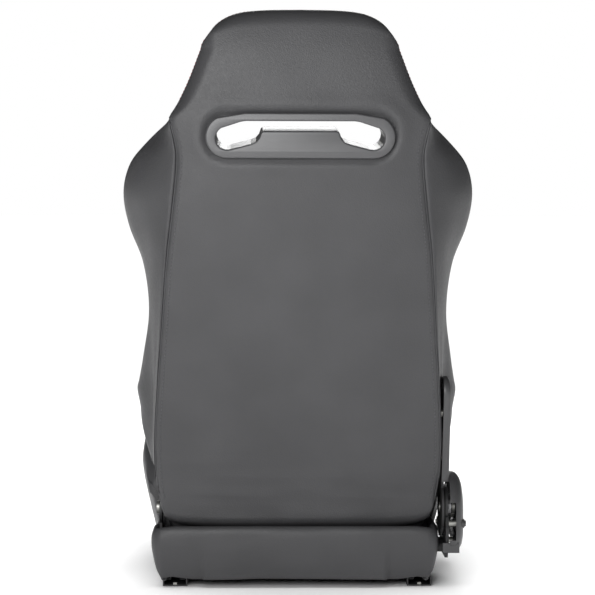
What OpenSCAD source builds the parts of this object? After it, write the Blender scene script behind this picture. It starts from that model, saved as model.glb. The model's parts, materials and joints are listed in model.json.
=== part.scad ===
// Reclining sport seat on slide rails, with a harness slot in the back.
// +X is the occupant's right, +Y is the way the occupant faces, +Z is up.
// The origin is the centre of the four floor bolt holes, on the floor.

/* [Overall] */
// Height of the seat from the floor to the top of the head
seat_height = 930; // [920:1:940]
// Half the width over the shoulder wings
shoulder_half = 284; // [276:1:288]
// Half the width at the waist, between shoulder and lumbar wings
waist_half = 243; // [240:1:250]
// Half the width over the lumbar wings
lumbar_half = 264; // [258:1:266]

/* [Back] */
// Thickness of the back at its centre
back_thickness = 108; // [104:1:114]
// How far the wings stand forward of the rear surface
wing_depth = 172; // [160:1:180]
// Half the width of the pad between the wings
back_pad_half = 150; // [140:1:152]
// Thickness of the padded rear cover
cover_t = 10; // [8:1:12]

/* [Harness slot] */
// Height of the slot's centre above the floor
slot_z = 733; // [728:1:738]
// Backward tilt of the slot in degrees
slot_tilt = 5; // [4:1:6]
// Half the length of the slot's frame
bezel_half = 148; // [146:0.5:150]

/* [Cushion] */
// How far the cushion reaches behind the floor bolts' centre
cushion_rear = 262; // [258:1:266]
// How far the cushion reaches in front of it
cushion_front = 284; // [278:1:290]
// Height of the sitting surface above the floor
cushion_top = 182; // [176:1:190]
// Half the width over the cushion's side wings
cushion_half = 262; // [260:1:264]

/* [Recliner] */
// Distance of the recline axis behind the floor bolts' centre
pivot_back = 200; // [198:1:202]
// Height of the recline axis
pivot_z = 125; // [124:1:126]
// Radius of the right hand pivot pin
pivot_r = 8; // [7:0.5:9]
// Radius of the left hand pivot bolt
pivot_left_r = 6; // [5:0.5:7]
// Radial clearance of the running fits
run_gap = 0.05; // [0.03:0.01:0.08]

/* [Slide rails] */
// Distance of each rail's centre from the middle
rail_x = 200; // [198:1:202]
// Length of a floor rail
rail_length = 460; // [450:5:470]
// Width of a floor rail
rail_w = 40; // [39:1:41]
// Radius of the floor bolt holes
bolt_hole_r = 4.25; // [4.1:0.05:4.5]
// Distance between the floor bolts along a rail
bolt_spacing = 340; // [320:10:360]

/* [Hidden] */

BIG = 1200;
pivot_y = -pivot_back;
PIVOT = [pivot_y, pivot_z];
sheet = 2;                 // rolled steel of the rails
plate = 4;                 // recliner and hinge plates
RIGHT = 1;
LEFT = -1;

// ---- curves -------------------------------------------------------------------------------

// Slope of a table of [position, value] pairs at its entry i
function slope(t, i) =
  let (a = max(i - 1, 0), b = min(i + 1, len(t) - 1))
  (t[b][1] - t[a][1]) / (t[b][0] - t[a][0]);

// Smooth curve through a table of [position, value] pairs
function curve(t, x, i = 0) =
  x <= t[0][0] ? t[0][1] :
  i > len(t) - 2 ? t[len(t) - 1][1] :
  x > t[i + 1][0] ? curve(t, x, i + 1) :
  let (h = t[i + 1][0] - t[i][0], s = (x - t[i][0]) / h)
  (2 * s ^ 3 - 3 * s ^ 2 + 1) * t[i][1] + (s ^ 3 - 2 * s ^ 2 + s) * h * slope(t, i)
    + (3 * s ^ 2 - 2 * s ^ 3) * t[i + 1][1] + (s ^ 3 - s ^ 2) * h * slope(t, i + 1);

// n + 1 values from a to b
function steps(a, b, n) = [for (i = [0:n]) a + (b - a) * i / n];

// Points of an arc, angles in degrees
function arc(c, r, a0, a1, n) = [for (a = steps(a0, a1, n)) c + r * [cos(a), sin(a)]];

function mirrored(points) = [for (i = [len(points) - 1:-1:0]) [-points[i][0], points[i][1]]];

// ---- shape of the back --------------------------------------------------------------------

// Y of the rear surface at height z
REAR = [[60, -226], [pivot_z, -241], [300, -284], [480, -327], [620, -354], [740, -368],
        [860, -372], [seat_height, -366]];
function rear_y(z) = curve(REAR, z);

// Half width of the whole back, the wings included
OUTLINE = [[180, 246], [235, 254], [300, lumbar_half], [370, lumbar_half - 10],
           [455, waist_half], [530, 252], [590, 275], [645, shoulder_half], [692, 271],
           [725, 243], [762, 206], [808, 180], [868, 156]];
function outline_x(z) = curve(OUTLINE, z);

// Half width of the flat rear panel, which ends at the side seams
PANEL = [[86, 214], [124, 214.5], [136, 221], [150, 226.5], [180, 230], [250, 231], [343, 225], [432, 218], [535, 210],
         [647, 197], [701, 193], [731, 198], [762, 206]];
function panel_x(z) = curve(PANEL, z);

// Half width of the wing's flank, behind which the arm of the recliner lies
FLANK = [[180, 233], [370, 234], [455, 237], [530, 241], [600, 255], [645, 262], [700, 247],
         [730, 225], [755, 214]];

// How far the wing stands forward of the rear surface
WING = [[180, wing_depth - 22], [300, wing_depth], [455, wing_depth - 34],
        [560, wing_depth - 12], [645, wing_depth + 6], [700, wing_depth - 22],
        [770, back_thickness + 2]];

pocket = 46;                // depth of the space that holds the frame
head_corner = 62;           // radius of the head's upper corners
head_x = 92;                // centre of that corner

// Upper half outline of the head, from the neck to the middle of the top
function head_points(inset) = concat(
  [for (z = steps(762, 862, 6)) [outline_x(z) - inset, z]],
  arc([head_x, seat_height - head_corner], head_corner - inset, 8, 62, 4),
  [[60, seat_height - 3 - inset], [0, seat_height - inset]]);

// Half outline of the rear cover, from the bottom corner up
function cover_points(inset, bottom) = concat(
  arc([panel_x(bottom) - 18, bottom + 18], 18 - min(inset, 16), -90, 0, 4),
  [for (z = concat([124, 130, 136, 143], steps(150, 740, 20))) [panel_x(z) - inset, z]],
  head_points(inset));

module back_outline(inset, bottom) {
  half = cover_points(inset, bottom);
  translate([0, BIG / 2, 0]) rotate([90, 0, 0]) linear_extrude(BIG)
    polygon(concat(half, mirrored(half)));
}

// Extrudes a Y-Z outline along X
module across(x0, x1) {
  translate([x0, 0, 0]) rotate([90, 0, 90]) linear_extrude(x1 - x0) children();
}

// A pin along X
module pin_x(x0, x1, at, r) {
  translate([x0, at[0], at[1]]) rotate([0, 90, 0]) cylinder(r = r, h = x1 - x0, $fn = 48);
}

// Puts a shape in the frame of the lower back: y is forward of the axis, z is up the back
back_rake = 14;
module on_back() {
  translate([0, pivot_y, pivot_z]) rotate([back_rake, 0, 0]) children();
}

// Puts a shape in the frame of the harness slot: y runs into the back from its rear surface
module on_slot() {
  translate([0, rear_y(slot_z), slot_z]) rotate([slot_tilt, 0, 0]) children();
}

// Everything above or below a height in the slot's frame
module above_slot(h) {
  on_slot() translate([-BIG / 2, -BIG / 2, h]) cube(BIG);
}
module below_slot(h) {
  on_slot() translate([-BIG / 2, -BIG / 2, h - BIG]) cube(BIG);
}

// Direction of a path at its point i
function heading(path, i) =
  let (a = path[max(i - 1, 0)], b = path[i], c = path[min(i + 1, len(path) - 1)],
       u = i == 0 ? [0, 0, 0] : (b - a) / norm(b - a),
       v = i == len(path) - 1 ? [0, 0, 0] : (c - b) / norm(c - b))
  (u + v) / norm(u + v);

// Round bar or wire along a path that never runs along the direction up
module wire(path, r, sides, up) {
  loft([for (i = [0:len(path) - 1])
    let (h = heading(path, i), c = cross(h, up), side = c / norm(c), top = cross(side, h))
    [for (k = [0:sides - 1]) path[i] + r * (cos(360 * k / sides) * side + sin(360 * k / sides) * top)]]);
}

// Closed solid through a list of rings with the same number of points each
module loft(rings) {
  n = len(rings[0]);
  last = (len(rings) - 1) * n;
  points = [for (ring = rings) each ring];
  sides = [for (k = [0:len(rings) - 2], i = [0:n - 1])
    let (a = k * n + i, b = k * n + (i + 1) % n) each [[a, b, b + n], [a, b + n, a + n]]];
  caps = [for (i = [1:n - 2]) each [[0, i + 1, i], [last, last + i, last + i + 1]]];
  polyhedron(points, concat(sides, caps));
}

// Mirrors a right hand piece for the left
module on_side(side) {
  if (side == LEFT) mirror([1, 0, 0]) children();
  else children();
}

// ---- slide rails --------------------------------------------------------------------------

rail_back = -rail_length / 2 - 5;
rail_h = 16;
lip = 9;                   // width of the rail's inturned lips
hat_half = 9;              // half width of the upper rail's hat
hat_top = 26;
hat_foot = 7;              // underside of the hat's feet
hat_foot_half = 16;
upper_back = rail_back + 20;
upper_length = rail_length - 40;
ball_r = (hat_foot - sheet) / 2 - run_gap;
ball_x = 12.5;
cage_length = 90;
cage_starts = [upper_back + 60, upper_back + upper_length - 60 - cage_length];

module lower_rail(side) {
  color([0.07, 0.07, 0.08]) on_side(side) difference() {
    translate([rail_x - rail_w / 2, rail_back, 0]) cube([rail_w, rail_length, rail_h]);
    translate([rail_x - rail_w / 2 + sheet, rail_back - 1, sheet])
      cube([rail_w - 2 * sheet, rail_length + 2, rail_h - 2 * sheet]);
    translate([rail_x - rail_w / 2 + lip, rail_back - 1, sheet])
      cube([rail_w - 2 * lip, rail_length + 2, rail_h]);
    for (y = [-bolt_spacing / 2, bolt_spacing / 2])
      translate([rail_x, y, -1]) cylinder(r = bolt_hole_r, h = sheet + 2, $fn = 48);
  }
}

module rail_stops() {
  color("dimgray") for (side = [LEFT, RIGHT], y = [rail_back + 1, rail_back + rail_length - 7])
    translate([side * rail_x - 3, y, sheet]) cube([6, 6, 3.5]);
}

module upper_rail(side) {
  color([0.12, 0.12, 0.13]) on_side(side)
    translate([rail_x, upper_back + upper_length, 0]) rotate([90, 0, 0])
      linear_extrude(upper_length) difference() {
        union() {
          translate([-hat_half, hat_foot]) square([2 * hat_half, hat_top - hat_foot]);
          translate([-hat_foot_half, hat_foot]) square([2 * hat_foot_half, sheet]);
        }
        translate([-hat_half + sheet, hat_foot - 1])
          square([2 * (hat_half - sheet), hat_top - hat_foot - sheet + 1]);
      }
}

module cage_places() {
  for (side = [LEFT, RIGHT], x = [-ball_x, ball_x], y = cage_starts)
    translate([side * rail_x + x, y, (sheet + hat_foot) / 2]) children();
}

module roller_cages() {
  color("gainsboro") cage_places() difference() {
    translate([-3.2, 0, -0.6]) cube([6.4, cage_length, 1.2]);
    for (y = [15, 45, 75]) translate([0, y, -1]) cylinder(r = ball_r + run_gap, h = 2, $fn = 32);
  }
}

module rail_balls() {
  color("silver") cage_places() for (y = [15, 45, 75]) translate([0, y, 0]) sphere(r = ball_r, $fn = 32);
}

// ---- cushion frame ------------------------------------------------------------------------

web_x = 211;               // outer face of the side members
web_t = 2.5;
web_top = 70;
member_back = -225;
member_length = 440;
tube_r = 12.5;
front_tube = [190, 70];
rear_tube = [-136, 55];
latch_pin = [60, 34];
latch_pin_r = 4;
bolt_ys = [-140, 120];
bracket_x = 226;           // outer face of the left hinge bracket
bracket_bolts = [[-200, 46], [-200, 62]];
recliner_bolt_places = [[-215, 62], [-185, 62]];

module base_side(side) {
  color([0.1, 0.1, 0.11]) on_side(side) difference() {
    union() {
      translate([rail_x - hat_half - 2, member_back, hat_top])
        cube([web_x - rail_x + hat_half + 2, member_length, web_t]);
      translate([web_x - web_t, member_back, hat_top]) cube([web_t, member_length, web_top - hat_top]);
    }
    for (y = bolt_ys) translate([rail_x, y, hat_top - 1]) cylinder(r = 4.2, h = 5, $fn = 32);
    for (p = side == LEFT ? bracket_bolts : recliner_bolt_places) pin_x(web_x - 5, web_x + 5, p, 4);
  }
}

module cross_tube(at, half) {
  color([0.1, 0.1, 0.11]) difference() {
    pin_x(-half, half, at, tube_r);
    pin_x(-half - 1, half + 1, at, tube_r - 1.8);
  }
}
module base_front_tube() cross_tube(front_tube, web_x - web_t);
module base_rear_tube() cross_tube(rear_tube, web_x - web_t);

spring_wire = 1.8;
spring_pitch = 33;
spring_loops = 8;
// Serpentine springs that carry the cushion pad
module seat_springs() {
  start = rear_tube[0] + tube_r + 6;
  color("gray") for (x = [-120, -40, 40, 120])
    wire([for (t = steps(0, spring_loops, spring_loops * 6))
      [x + 24 * sin(180 * t), start + spring_pitch * t - 5 * sin(360 * t), 74]], spring_wire, 6, [0, 0, 1]);
}

module rail_bolts() {
  color("silver") for (side = [LEFT, RIGHT], y = bolt_ys) translate([side * rail_x, y, hat_top + web_t])
    cylinder(r = 6.5, h = 5, $fn = 6);
}

module latch_pins() {
  color("silver") for (side = [LEFT, RIGHT]) on_side(side)
    pin_x(166, web_x - web_t, latch_pin, latch_pin_r);
}

// ---- cushion ------------------------------------------------------------------------------

pad_half = 163;
pad_back = -118;
roll_y = 216;
leather = [0.2, 0.2, 0.21];

module seat_pad() {
  color(leather) across(-pad_half, pad_half)
    polygon(concat([[pad_back, 84], [roll_y - 1.5, 84], [roll_y - 1.5, cushion_top + 14]],
                   [[150, cushion_top + 8], [60, cushion_top - 1], [-20, cushion_top - 4],
                    [-80, cushion_top], [-108, cushion_top - 4], [pad_back, cushion_top - 16]]));
}

// Height of the side wing's crest along the cushion
CREST = [[-112, 158], [-92, 190], [-50, 218], [20, 234], [100, 236], [190, 226], [235, 212],
         [262, 188]];
// How far the wing's flank stands in at each end
TUCK = [[-112, 12], [-60, 2], [0, 0], [150, 2], [225, 10], [262, 30]];

function wing_ring(y) =
  let (top = curve(CREST, y), out = cushion_half - curve(TUCK, y), low = 37)
  [for (p = [[web_x + 3.5, 84], [web_x + 3.5, low], [out - 34, low - 2], [out - 26, 60],
             [out - 14, 110], [out - 3, 160], [out, top - 26], [out - 6, top - 8], [out - 20, top],
             [out - 40, top - 5], [out - 66, top - 22], [pad_half + 10, min(top - 30, cushion_top + 14)],
             [pad_half + 2, min(top - 36, cushion_top)], [pad_half + 2, 84]])
   [p[0], y, p[1]]];

module seat_bolster(side) {
  color(leather) on_side(side) loft([for (y = [-112, -100, -85, -60, -30, 5, 50, 95, 140, 180, 212, 235,
                                               250, 262]) wing_ring(y)]);
}

module seat_front_roll() {
  color(leather) across(-pad_half, pad_half)
    polygon(concat([[roll_y, 44]], arc([cushion_front - 16, 60], 16, -90, 0, 3),
                   arc([cushion_front - 42, cushion_top - 24], 42, 0, 100, 6),
                   [[roll_y, cushion_top + 14]]));
}

skirt_top = 102;
skirt_half = 234;
skirt_t = 12;
trough_r = 46;

module skirt_plan(inset, corner, side_in) {
  x = skirt_half - side_in;
  y = cushion_rear - inset;
  half = concat(arc([x - corner, -y + corner], corner, -90, 0, 5), [[x, pad_back + 2]]);
  polygon(concat(half, mirrored(half)));
}

module seat_rear_roll() {
  color(leather) {
    difference() {
      translate([0, 0, rail_h]) linear_extrude(skirt_top - rail_h) skirt_plan(0, 26, 0);
      linear_extrude(BIG) skirt_plan(skirt_t, 20, 6);
      for (p = recliner_bolt_places) pin_x(pad_half, plate_x, p, 11);
    }
    across(-212, 212)
      polygon(concat([[-cushion_rear + skirt_t - 1, skirt_top]], arc(PIVOT, trough_r, 210, 320, 11),
                     [[pad_back - 2, 95], [pad_back - 2, 72], [-cushion_rear + skirt_t - 1, 72]]));
    translate([-150, -cushion_rear, 9]) cube([300, skirt_t, 9]);
  }
}

// ---- left hinge ---------------------------------------------------------------------------

hinge_r = 27;
module hinge_bracket_left() {
  color([0.08, 0.08, 0.09]) difference() {
    union() {
      pin_x(-bracket_x, -bracket_x + plate, PIVOT, hinge_r);
      translate([-bracket_x, pivot_y - 12, 38]) cube([plate, 24, pivot_z - 38]);
      for (p = bracket_bolts) pin_x(-bracket_x, -web_x, p, 7);
    }
    pin_x(-bracket_x - 1, -bracket_x + plate + 1, PIVOT, pivot_left_r);
    for (p = bracket_bolts) pin_x(-bracket_x - 1, -web_x + 1, p, 4);
  }
}

module hinge_bolt_left() {
  color("gray") {
    pin_x(-bracket_x - 5, -bracket_x, PIVOT, 11);
    pin_x(-bracket_x - 1, -bracket_x + 13, PIVOT, pivot_left_r);
  }
}

module hinge_arm_left() {
  x = bracket_x - plate - 2;
  color([0.08, 0.08, 0.09]) difference() {
    union() {
      pin_x(-x, -x + plate, PIVOT, hinge_r);
      on_back() translate([-x, -19, 0]) cube([plate, 24, 130]);
    }
    pin_x(-x - 1, -x + plate + 1, PIVOT, pivot_left_r + run_gap);
  }
}

// ---- recliner -----------------------------------------------------------------------------

arm_x = 236;               // inner face of the recliner's moving arm
plate_x = 242;             // inner face of its fixed plate
plate_t = 5;
pod_x = 254;               // inner edge of the plastic pod
pod_out = 273;
pod_wall = 3;
sector_r = 45;
tooth = 2.6;
pawl_at = [-146.5, 92.5];
pawl_pin_r = 4;
lever_at = [-150, 62];
lever_r = 5;
lever_x = 262.5;           // inner face of the lever, outside the cushion's flank
post_places = [[-243, 104], [-125, 102]];
post_r = 6;

module recliner_plate_right() {
  color([0.1, 0.1, 0.11]) difference() {
    union() {
      pin_x(plate_x, plate_x + plate_t, PIVOT, 38);
      across(plate_x, plate_x + plate_t)
        polygon([[-252, 96], [-243, 114], [-200, 118], [-146, 112], [-125, 111], [-115, 102], [-124, 84],
                 [-138, 52], [-160, 46], [-232, 46], [-248, 74]]);
      for (p = recliner_bolt_places) pin_x(web_x, plate_x + 1, p, 9);
    }
    pin_x(plate_x - 1, plate_x + plate_t + 1, PIVOT, pivot_r);
    pin_x(plate_x - 1, plate_x + plate_t + 1, pawl_at, pawl_pin_r);
    pin_x(plate_x - 1, plate_x + plate_t + 1, lever_at, lever_r + run_gap);
    for (p = recliner_bolt_places) pin_x(web_x - 1, plate_x + plate_t + 1, p, 4);
    for (p = post_places) pin_x(plate_x - 1, plate_x + plate_t + 1, p, 3);
  }
}

module recliner_pin_right() {
  color("silver") {
    pin_x(arm_x - 1.5, pod_x + 6, PIVOT, pivot_r);
    pin_x(pod_x + 2, pod_x + 6, PIVOT, 12);
  }
}

// Flat spiral spring wound round the pin
module recliner_spring() {
  turns = 3;
  r0 = pivot_r + 3;
  pitch = 4.6;
  strip = 1.6;
  angles = steps(0, 360 * turns, 20 * turns);
  inner = [for (a = angles) (r0 + pitch * a / 360) * [cos(a), sin(a)]];
  outer = [for (i = [len(angles) - 1:-1:0]) let (a = angles[i])
           (r0 + strip + pitch * a / 360) * [cos(a), sin(a)]];
  color("dimgray") across(plate_x + plate_t + 0.6, plate_x + plate_t + 5.6)
    translate(PIVOT) polygon(concat(inner, outer));
}

module recliner_bolts() {
  color("silver") {
    for (p = recliner_bolt_places) {
      pin_x(web_x - web_t - 4, plate_x + plate_t + 1, p, 4);
      pin_x(plate_x + plate_t, plate_x + plate_t + 2.5, p, 7);
      pin_x(web_x - web_t - 5, web_x - web_t, p, 7);
    }
    for (p = bracket_bolts) {
      pin_x(-bracket_x, -web_x + web_t + 4, p, 4);
      pin_x(-web_x + web_t, -web_x + web_t + 5, p, 7);
    }
  }
}

module pod_shape(inset) {
  hull() {
    translate([-205, 130]) circle(r = 55 - inset, $fn = 64);
    translate([-128, 92]) circle(r = 37 - inset, $fn = 48);
    translate([-225, 92]) circle(r = 37 - inset, $fn = 48);
  }
}

module recliner_pod() {
  color([0.2, 0.2, 0.21]) {
    difference() {
      across(pod_x, pod_out) pod_shape(0);
      across(pod_x - 1, pod_out - pod_wall) pod_shape(pod_wall);
      // the lever leaves through the front, and the frame shows through the rear
      translate([pod_x - 1, -170, 40]) cube([13.5, 120, 80]);
      translate([pod_x - 1, -270, 86]) cube([8, 22, 46]);
      for (p = post_places) pin_x(pod_x, pod_out + 1, p, 2.5);
    }
    translate([arm_x + 0.5, -253, 57]) cube([pod_x - arm_x + 12, 4, 17]);
  }
}

module pod_standoffs() {
  color("silver") for (p = post_places) {
    pin_x(plate_x, plate_x + plate_t, p, 3);
    pin_x(plate_x + plate_t, pod_out - pod_wall, p, post_r);
  }
}

module pod_screws() {
  color("black") for (p = post_places) {
    pin_x(pod_out - pod_wall, pod_out, p, 2.5);
    pin_x(pod_out, pod_out + 2, p, 5);
  }
}

// Fixed teeth of the moving arm's sector, in the frame of the lower back
module sector_outline() {
  difference() {
    circle(r = sector_r, $fn = 96);
    for (a = [-150:6:10]) rotate(a) translate([sector_r + 0.4, 0]) circle(r = tooth / 2 + 0.4, $fn = 16);
  }
}

arm_top = 200;
arm_bolt_places = [[0, 90], [0, 165]];
module recliner_arm_right() {
  color([0.08, 0.08, 0.09]) on_back() difference() {
    union() {
      across(arm_x, arm_x + plate) sector_outline();
      translate([arm_x, -18, 0]) cube([plate, 36, arm_top]);
    }
    pin_x(arm_x - 1, arm_x + plate + 1, [0, 0], pivot_r + run_gap);
    for (p = arm_bolt_places) pin_x(arm_x - 1, arm_x + plate + 1, p, 4);
  }
}

module arm_bolts() {
  color("silver") on_back() for (p = arm_bolt_places) {
    pin_x(arm_x - 3, arm_x + plate + 0.2, p, 4);
    pin_x(arm_x - 3, arm_x, p, 8);
  }
}

// Plastic cover over the recliner's arm, a dish that is open towards the seat
module arm_cover_right() {
  module side_view(inset) {
    hull() {
      translate([0, arm_top + 2]) circle(r = 26 - inset, $fn = 64);
      translate([-26 + inset, 52 + inset]) square([52 - 2 * inset, 10]);
    }
  }
  color([0.16, 0.16, 0.17]) on_back() difference() {
    across(arm_x + plate + 0.3, 251) side_view(0);
    across(arm_x + plate - 1, 251 - pod_wall) side_view(pod_wall);
  }
}

module pawl_pin() {
  color("silver") {
    pin_x(arm_x - 2, plate_x + plate_t + 2, pawl_at, pawl_pin_r);
    pin_x(plate_x + plate_t, plate_x + plate_t + 2, pawl_at, 6.5);
  }
}

// Toothed pawl, parked just clear of the sector
module lock_pawl() {
  reach = sector_r + 1.2;
  outline = concat(arc(PIVOT, reach, -72, -50, 6), [[-162, 99], [-152, 102]],
                   arc(pawl_at, 9, 60, -120, 6), [[-163, 82]],
                   arc(PIVOT, reach + 8, -56, -70, 3));
  color("gray") difference() {
    across(arm_x, arm_x + plate) polygon(outline);
    pin_x(arm_x - 1, arm_x + plate + 1, pawl_at, pawl_pin_r + run_gap);
  }
}

module lever_shaft() {
  color("silver") pin_x(arm_x, lever_x + plate - 0.4, lever_at, lever_r);
}

module lever_arm() {
  color([0.1, 0.1, 0.11]) difference() {
    across(lever_x, lever_x + plate - 0.4)
      polygon(concat(arc(lever_at, 10, 100, 280, 8), [[-100, 60], [-48, 68], [-48, 84], [-100, 78]]));
    pin_x(lever_x - 1, lever_x + plate + 1, lever_at, lever_r);
  }
}

module lever_grip() {
  color([0.05, 0.05, 0.05]) difference() {
    across(lever_x - 1, lever_x + 14) hull() {
      translate([-68, 71.5]) circle(r = 13, $fn = 32);
      translate([18, 84]) circle(r = 11, $fn = 32);
    }
    across(lever_x - 0.1, lever_x + plate - 0.3)
      polygon([[-110, 58], [-47.9, 67.9], [-47.9, 84.1], [-110, 78]]);
  }
}

// ---- slide handle -------------------------------------------------------------------------

handle_r = 4.5;
handle_x = 171;
handle_front = cushion_front + 16;
module slide_bar() {
  half = concat([[handle_x, latch_pin[0] + 6, latch_pin[1]], [handle_x, 150, 33],
                 [handle_x, handle_front - 28, 33]],
                [for (p = arc([handle_x - 24, handle_front - 24], 24, 15, 90, 5)) [p[0], p[1], 33]]);
  path = concat(half, [for (i = [len(half) - 1:-1:0]) [-half[i][0], half[i][1], half[i][2]]]);
  color([0.08, 0.08, 0.09]) {
    wire(path, handle_r, 12, [0, 0, 1]);
    for (side = [LEFT, RIGHT]) on_side(side) difference() {
      pin_x(handle_x - 4, handle_x + 4, latch_pin, 9);
      pin_x(handle_x - 9, handle_x + 9, latch_pin, latch_pin_r + run_gap);
    }
  }
}

module slide_bar_grip() {
  color("black") difference() {
    pin_x(-60, 60, [handle_front, 33], handle_r + 2.5);
    pin_x(-61, 61, [handle_front, 33], handle_r + 0.02);
  }
}

module latch_plates() {
  color("silver") for (side = [LEFT, RIGHT]) on_side(side) difference() {
    across(handle_x + 4, handle_x + 7)
      polygon([[40, 26], [84, 26], [84, 14], [80, 10], [76, 14], [72, 10], [68, 14], [64, 10], [60, 14],
               [56, 10], [52, 14], [48, 10], [40, 16]]);
    pin_x(handle_x, handle_x + 9, latch_pin, latch_pin_r + 0.5);
  }
}

// ---- back frame ---------------------------------------------------------------------------

frame_r = 11;
frame_depth = cover_t + 2 + frame_r + 3;
function on_frame(x, z) = [x, rear_y(z) + frame_depth, z];
upright_half = [[203, 152], [196, 300], [189, 480], [171, 640], [172, 756]];
steel = [0.09, 0.09, 0.1];

module back_upright(side) {
  color(steel) on_side(side) wire([for (p = upright_half) on_frame(p[0], p[1])], frame_r, 20, [0, 1, 0]);
}

module head_hoop() {
  right = [[170.5, 760], [165, 777], [148, 803], [124, 858], [82, 890]];
  path = concat(right, mirrored(right));
  color(steel) wire([for (p = path) on_frame(p[0], p[1])], frame_r - 2, 20, [0, 1, 0]);
}

module back_cross_lower() {
  color(steel) translate([0, rear_y(178) + frame_depth, 178]) rotate([0, 90, 0])
    cylinder(r = 9, h = 2 * 188, center = true, $fn = 32);
}
module back_cross_upper() {
  color(steel) translate([0, rear_y(672) + frame_depth, 672]) rotate([0, 90, 0])
    cylinder(r = 9, h = 2 * 157, center = true, $fn = 32);
}

// Straining wires across the back, each with a dip at its middle
module back_springs() {
  color("gray") for (z = [270, 360, 450, 540]) {
    end = curve([[270, 180], [360, 178], [450, 175], [540, 167]], z);
    wire([on_frame(-end, z), on_frame(-54, z), on_frame(-34, z - 20), on_frame(34, z - 20),
          on_frame(54, z), on_frame(end, z)], 2, 8, [0, 1, 0]);
  }
}

// Wire that stiffens a wing from inside its foam
module wing_wire(side) {
  function wire_at(z, d, x) = [x, rear_y(z) + d, z];
  color("gray") on_side(side)
    wire([wire_at(300, 70, 196), wire_at(322, 112, 220), wire_at(350, 124, 228), wire_at(440, 104, 216),
          wire_at(560, 118, 232), wire_at(640, 126, 248), wire_at(670, 108, 240), wire_at(690, 84, 220)],
         3.5, 8, [1, 0, 0]);
}

// ---- upholstery of the back ---------------------------------------------------------------

rim_t = 9.8;              // foam around the edge of the rear cover
module side_profile(d0, d1) {
  zs = steps(pivot_z + 8, seat_height + 10, 24);
  polygon(concat(arc(PIVOT, 40 - d0, 270, 200, 5), [for (z = zs) [rear_y(z) + d0, z]],
                 [for (i = [len(zs) - 1:-1:0]) [rear_y(zs[i]) + d1, zs[i]]],
                 d1 < 40 ? arc(PIVOT, 40 - d1, 200, 270, 5) : []));
}

module slot_hole(grow, d0, d1) {
  on_slot() translate([0, d1, 0]) rotate([90, 0, 0]) linear_extrude(d1 - d0) slot_outline(grow);
}

module rear_cover() {
  color(leather) difference() {
    intersection() {
      back_outline(0, 86);
      union() {
        across(-300, 300) side_profile(0, cover_t);
        intersection() {
          across(-300, 300) side_profile(cover_t - 1, pocket);
          translate([-300, -600, 168]) cube([600, 600, 800]);
        }
      }
    }
    intersection() {
      back_outline(rim_t, 60);
      across(-300, 300) side_profile(cover_t, pocket + 2);
    }
    // room for the hinge arm and its bracket
    for (x = [-bracket_x - 1, bracket_x - 13]) on_back() translate([x, -28.5, -10]) cube([12, 60, 160]);
    for (p = arm_bolt_places) on_back() pin_x(190, BIG / 4, p, 9);
    slot_hole(4, -20, 60);
  }
}

// ---- harness slot -------------------------------------------------------------------------

lobe_x = 114;              // centre of each end lobe of the slot
lobe_z = -4.3;
lobe_r = 18;
slot_top = 22.3;
slot_top_half = 90;
tongue_half = 62;
tongue_top = 7;

// The slot: a long opening with two drooping lobes around a raised tongue
module slot_outline(grow) {
  half = concat(
    [[0, tongue_top - grow]],
    arc([tongue_half - 6, tongue_top - 6], 6 - min(grow, 4), 90, 10, 3),
    [[64 - 0.8 * grow, -4 - 0.5 * grow], [69 - 0.5 * grow, -10 - 0.85 * grow], [77, -13.4 - grow]],
    arc([lobe_x, lobe_z], lobe_r + grow, -106, 60, 9),
    [[slot_top_half + 3, slot_top - 1.2 + grow], [slot_top_half - 5, slot_top + grow], [0, slot_top + grow]]);
  polygon(concat(half, mirrored(half)));
}

bezel_r = 33.5;
bezel_top = 35;
module bezel_outline(inset) {
  half = concat(
    arc([bezel_half - bezel_r, -2], bezel_r - inset, -90, 62, 9),
    [[slot_top_half + 6, bezel_top - 1.5 - inset], [slot_top_half - 4, bezel_top - inset]]);
  polygon(concat(half, mirrored(half)));
}

module slot_plate(d0, d1, inset) {
  on_slot() translate([0, d1, 0]) rotate([90, 0, 0]) linear_extrude(d1 - d0) difference() {
    bezel_outline(inset);
    slot_outline(0);
  }
}

sleeve_t = 2.4;
sleeve_end = back_thickness - 2;
module harness_bezel_rear() {
  color([0.26, 0.26, 0.27]) {
    slot_plate(-3.5, -0.6, 0);
    slot_plate(-6, -3.2, 3.5);
  }
}

module harness_bezel_front() {
  color([0.2, 0.2, 0.21]) slot_plate(sleeve_end, sleeve_end + 4, 1);
}

module harness_sleeve() {
  color([0.2, 0.2, 0.21]) difference() {
    slot_hole(sleeve_t, -0.6, sleeve_end);
    slot_hole(0, -2, sleeve_end + 1);
  }
}

// ---- pads of the back ---------------------------------------------------------------------

slot_low = -36.5;
slot_high = 36.5;
roll_top = 172;

module back_base_roll() {
  zs = steps(roll_top, 150, 2);
  color(leather) across(-212, 212)
    polygon(concat([[pivot_y + 3, 88.5], [pivot_y + 20, 93], [pivot_y + 34, 104.5], [pivot_y + 50, pivot_z],
                    [pivot_y + 60, 148], [rear_y(roll_top) + back_thickness, roll_top]],
                   [for (z = zs) [rear_y(z) + pocket, z]]));
}

module back_pad() {
  zs = steps(roll_top + 1.5, 740, 18);
  color(leather) intersection() {
    across(-back_pad_half, back_pad_half)
      polygon(concat([for (z = zs) [rear_y(z) + pocket + 1, z]],
                     [for (i = [len(zs) - 1:-1:0]) let (z = zs[i])
                      [rear_y(z) + back_thickness + 5 * sin((z - 172) * 0.5), z]]));
    below_slot(slot_low);
  }
}

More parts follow.
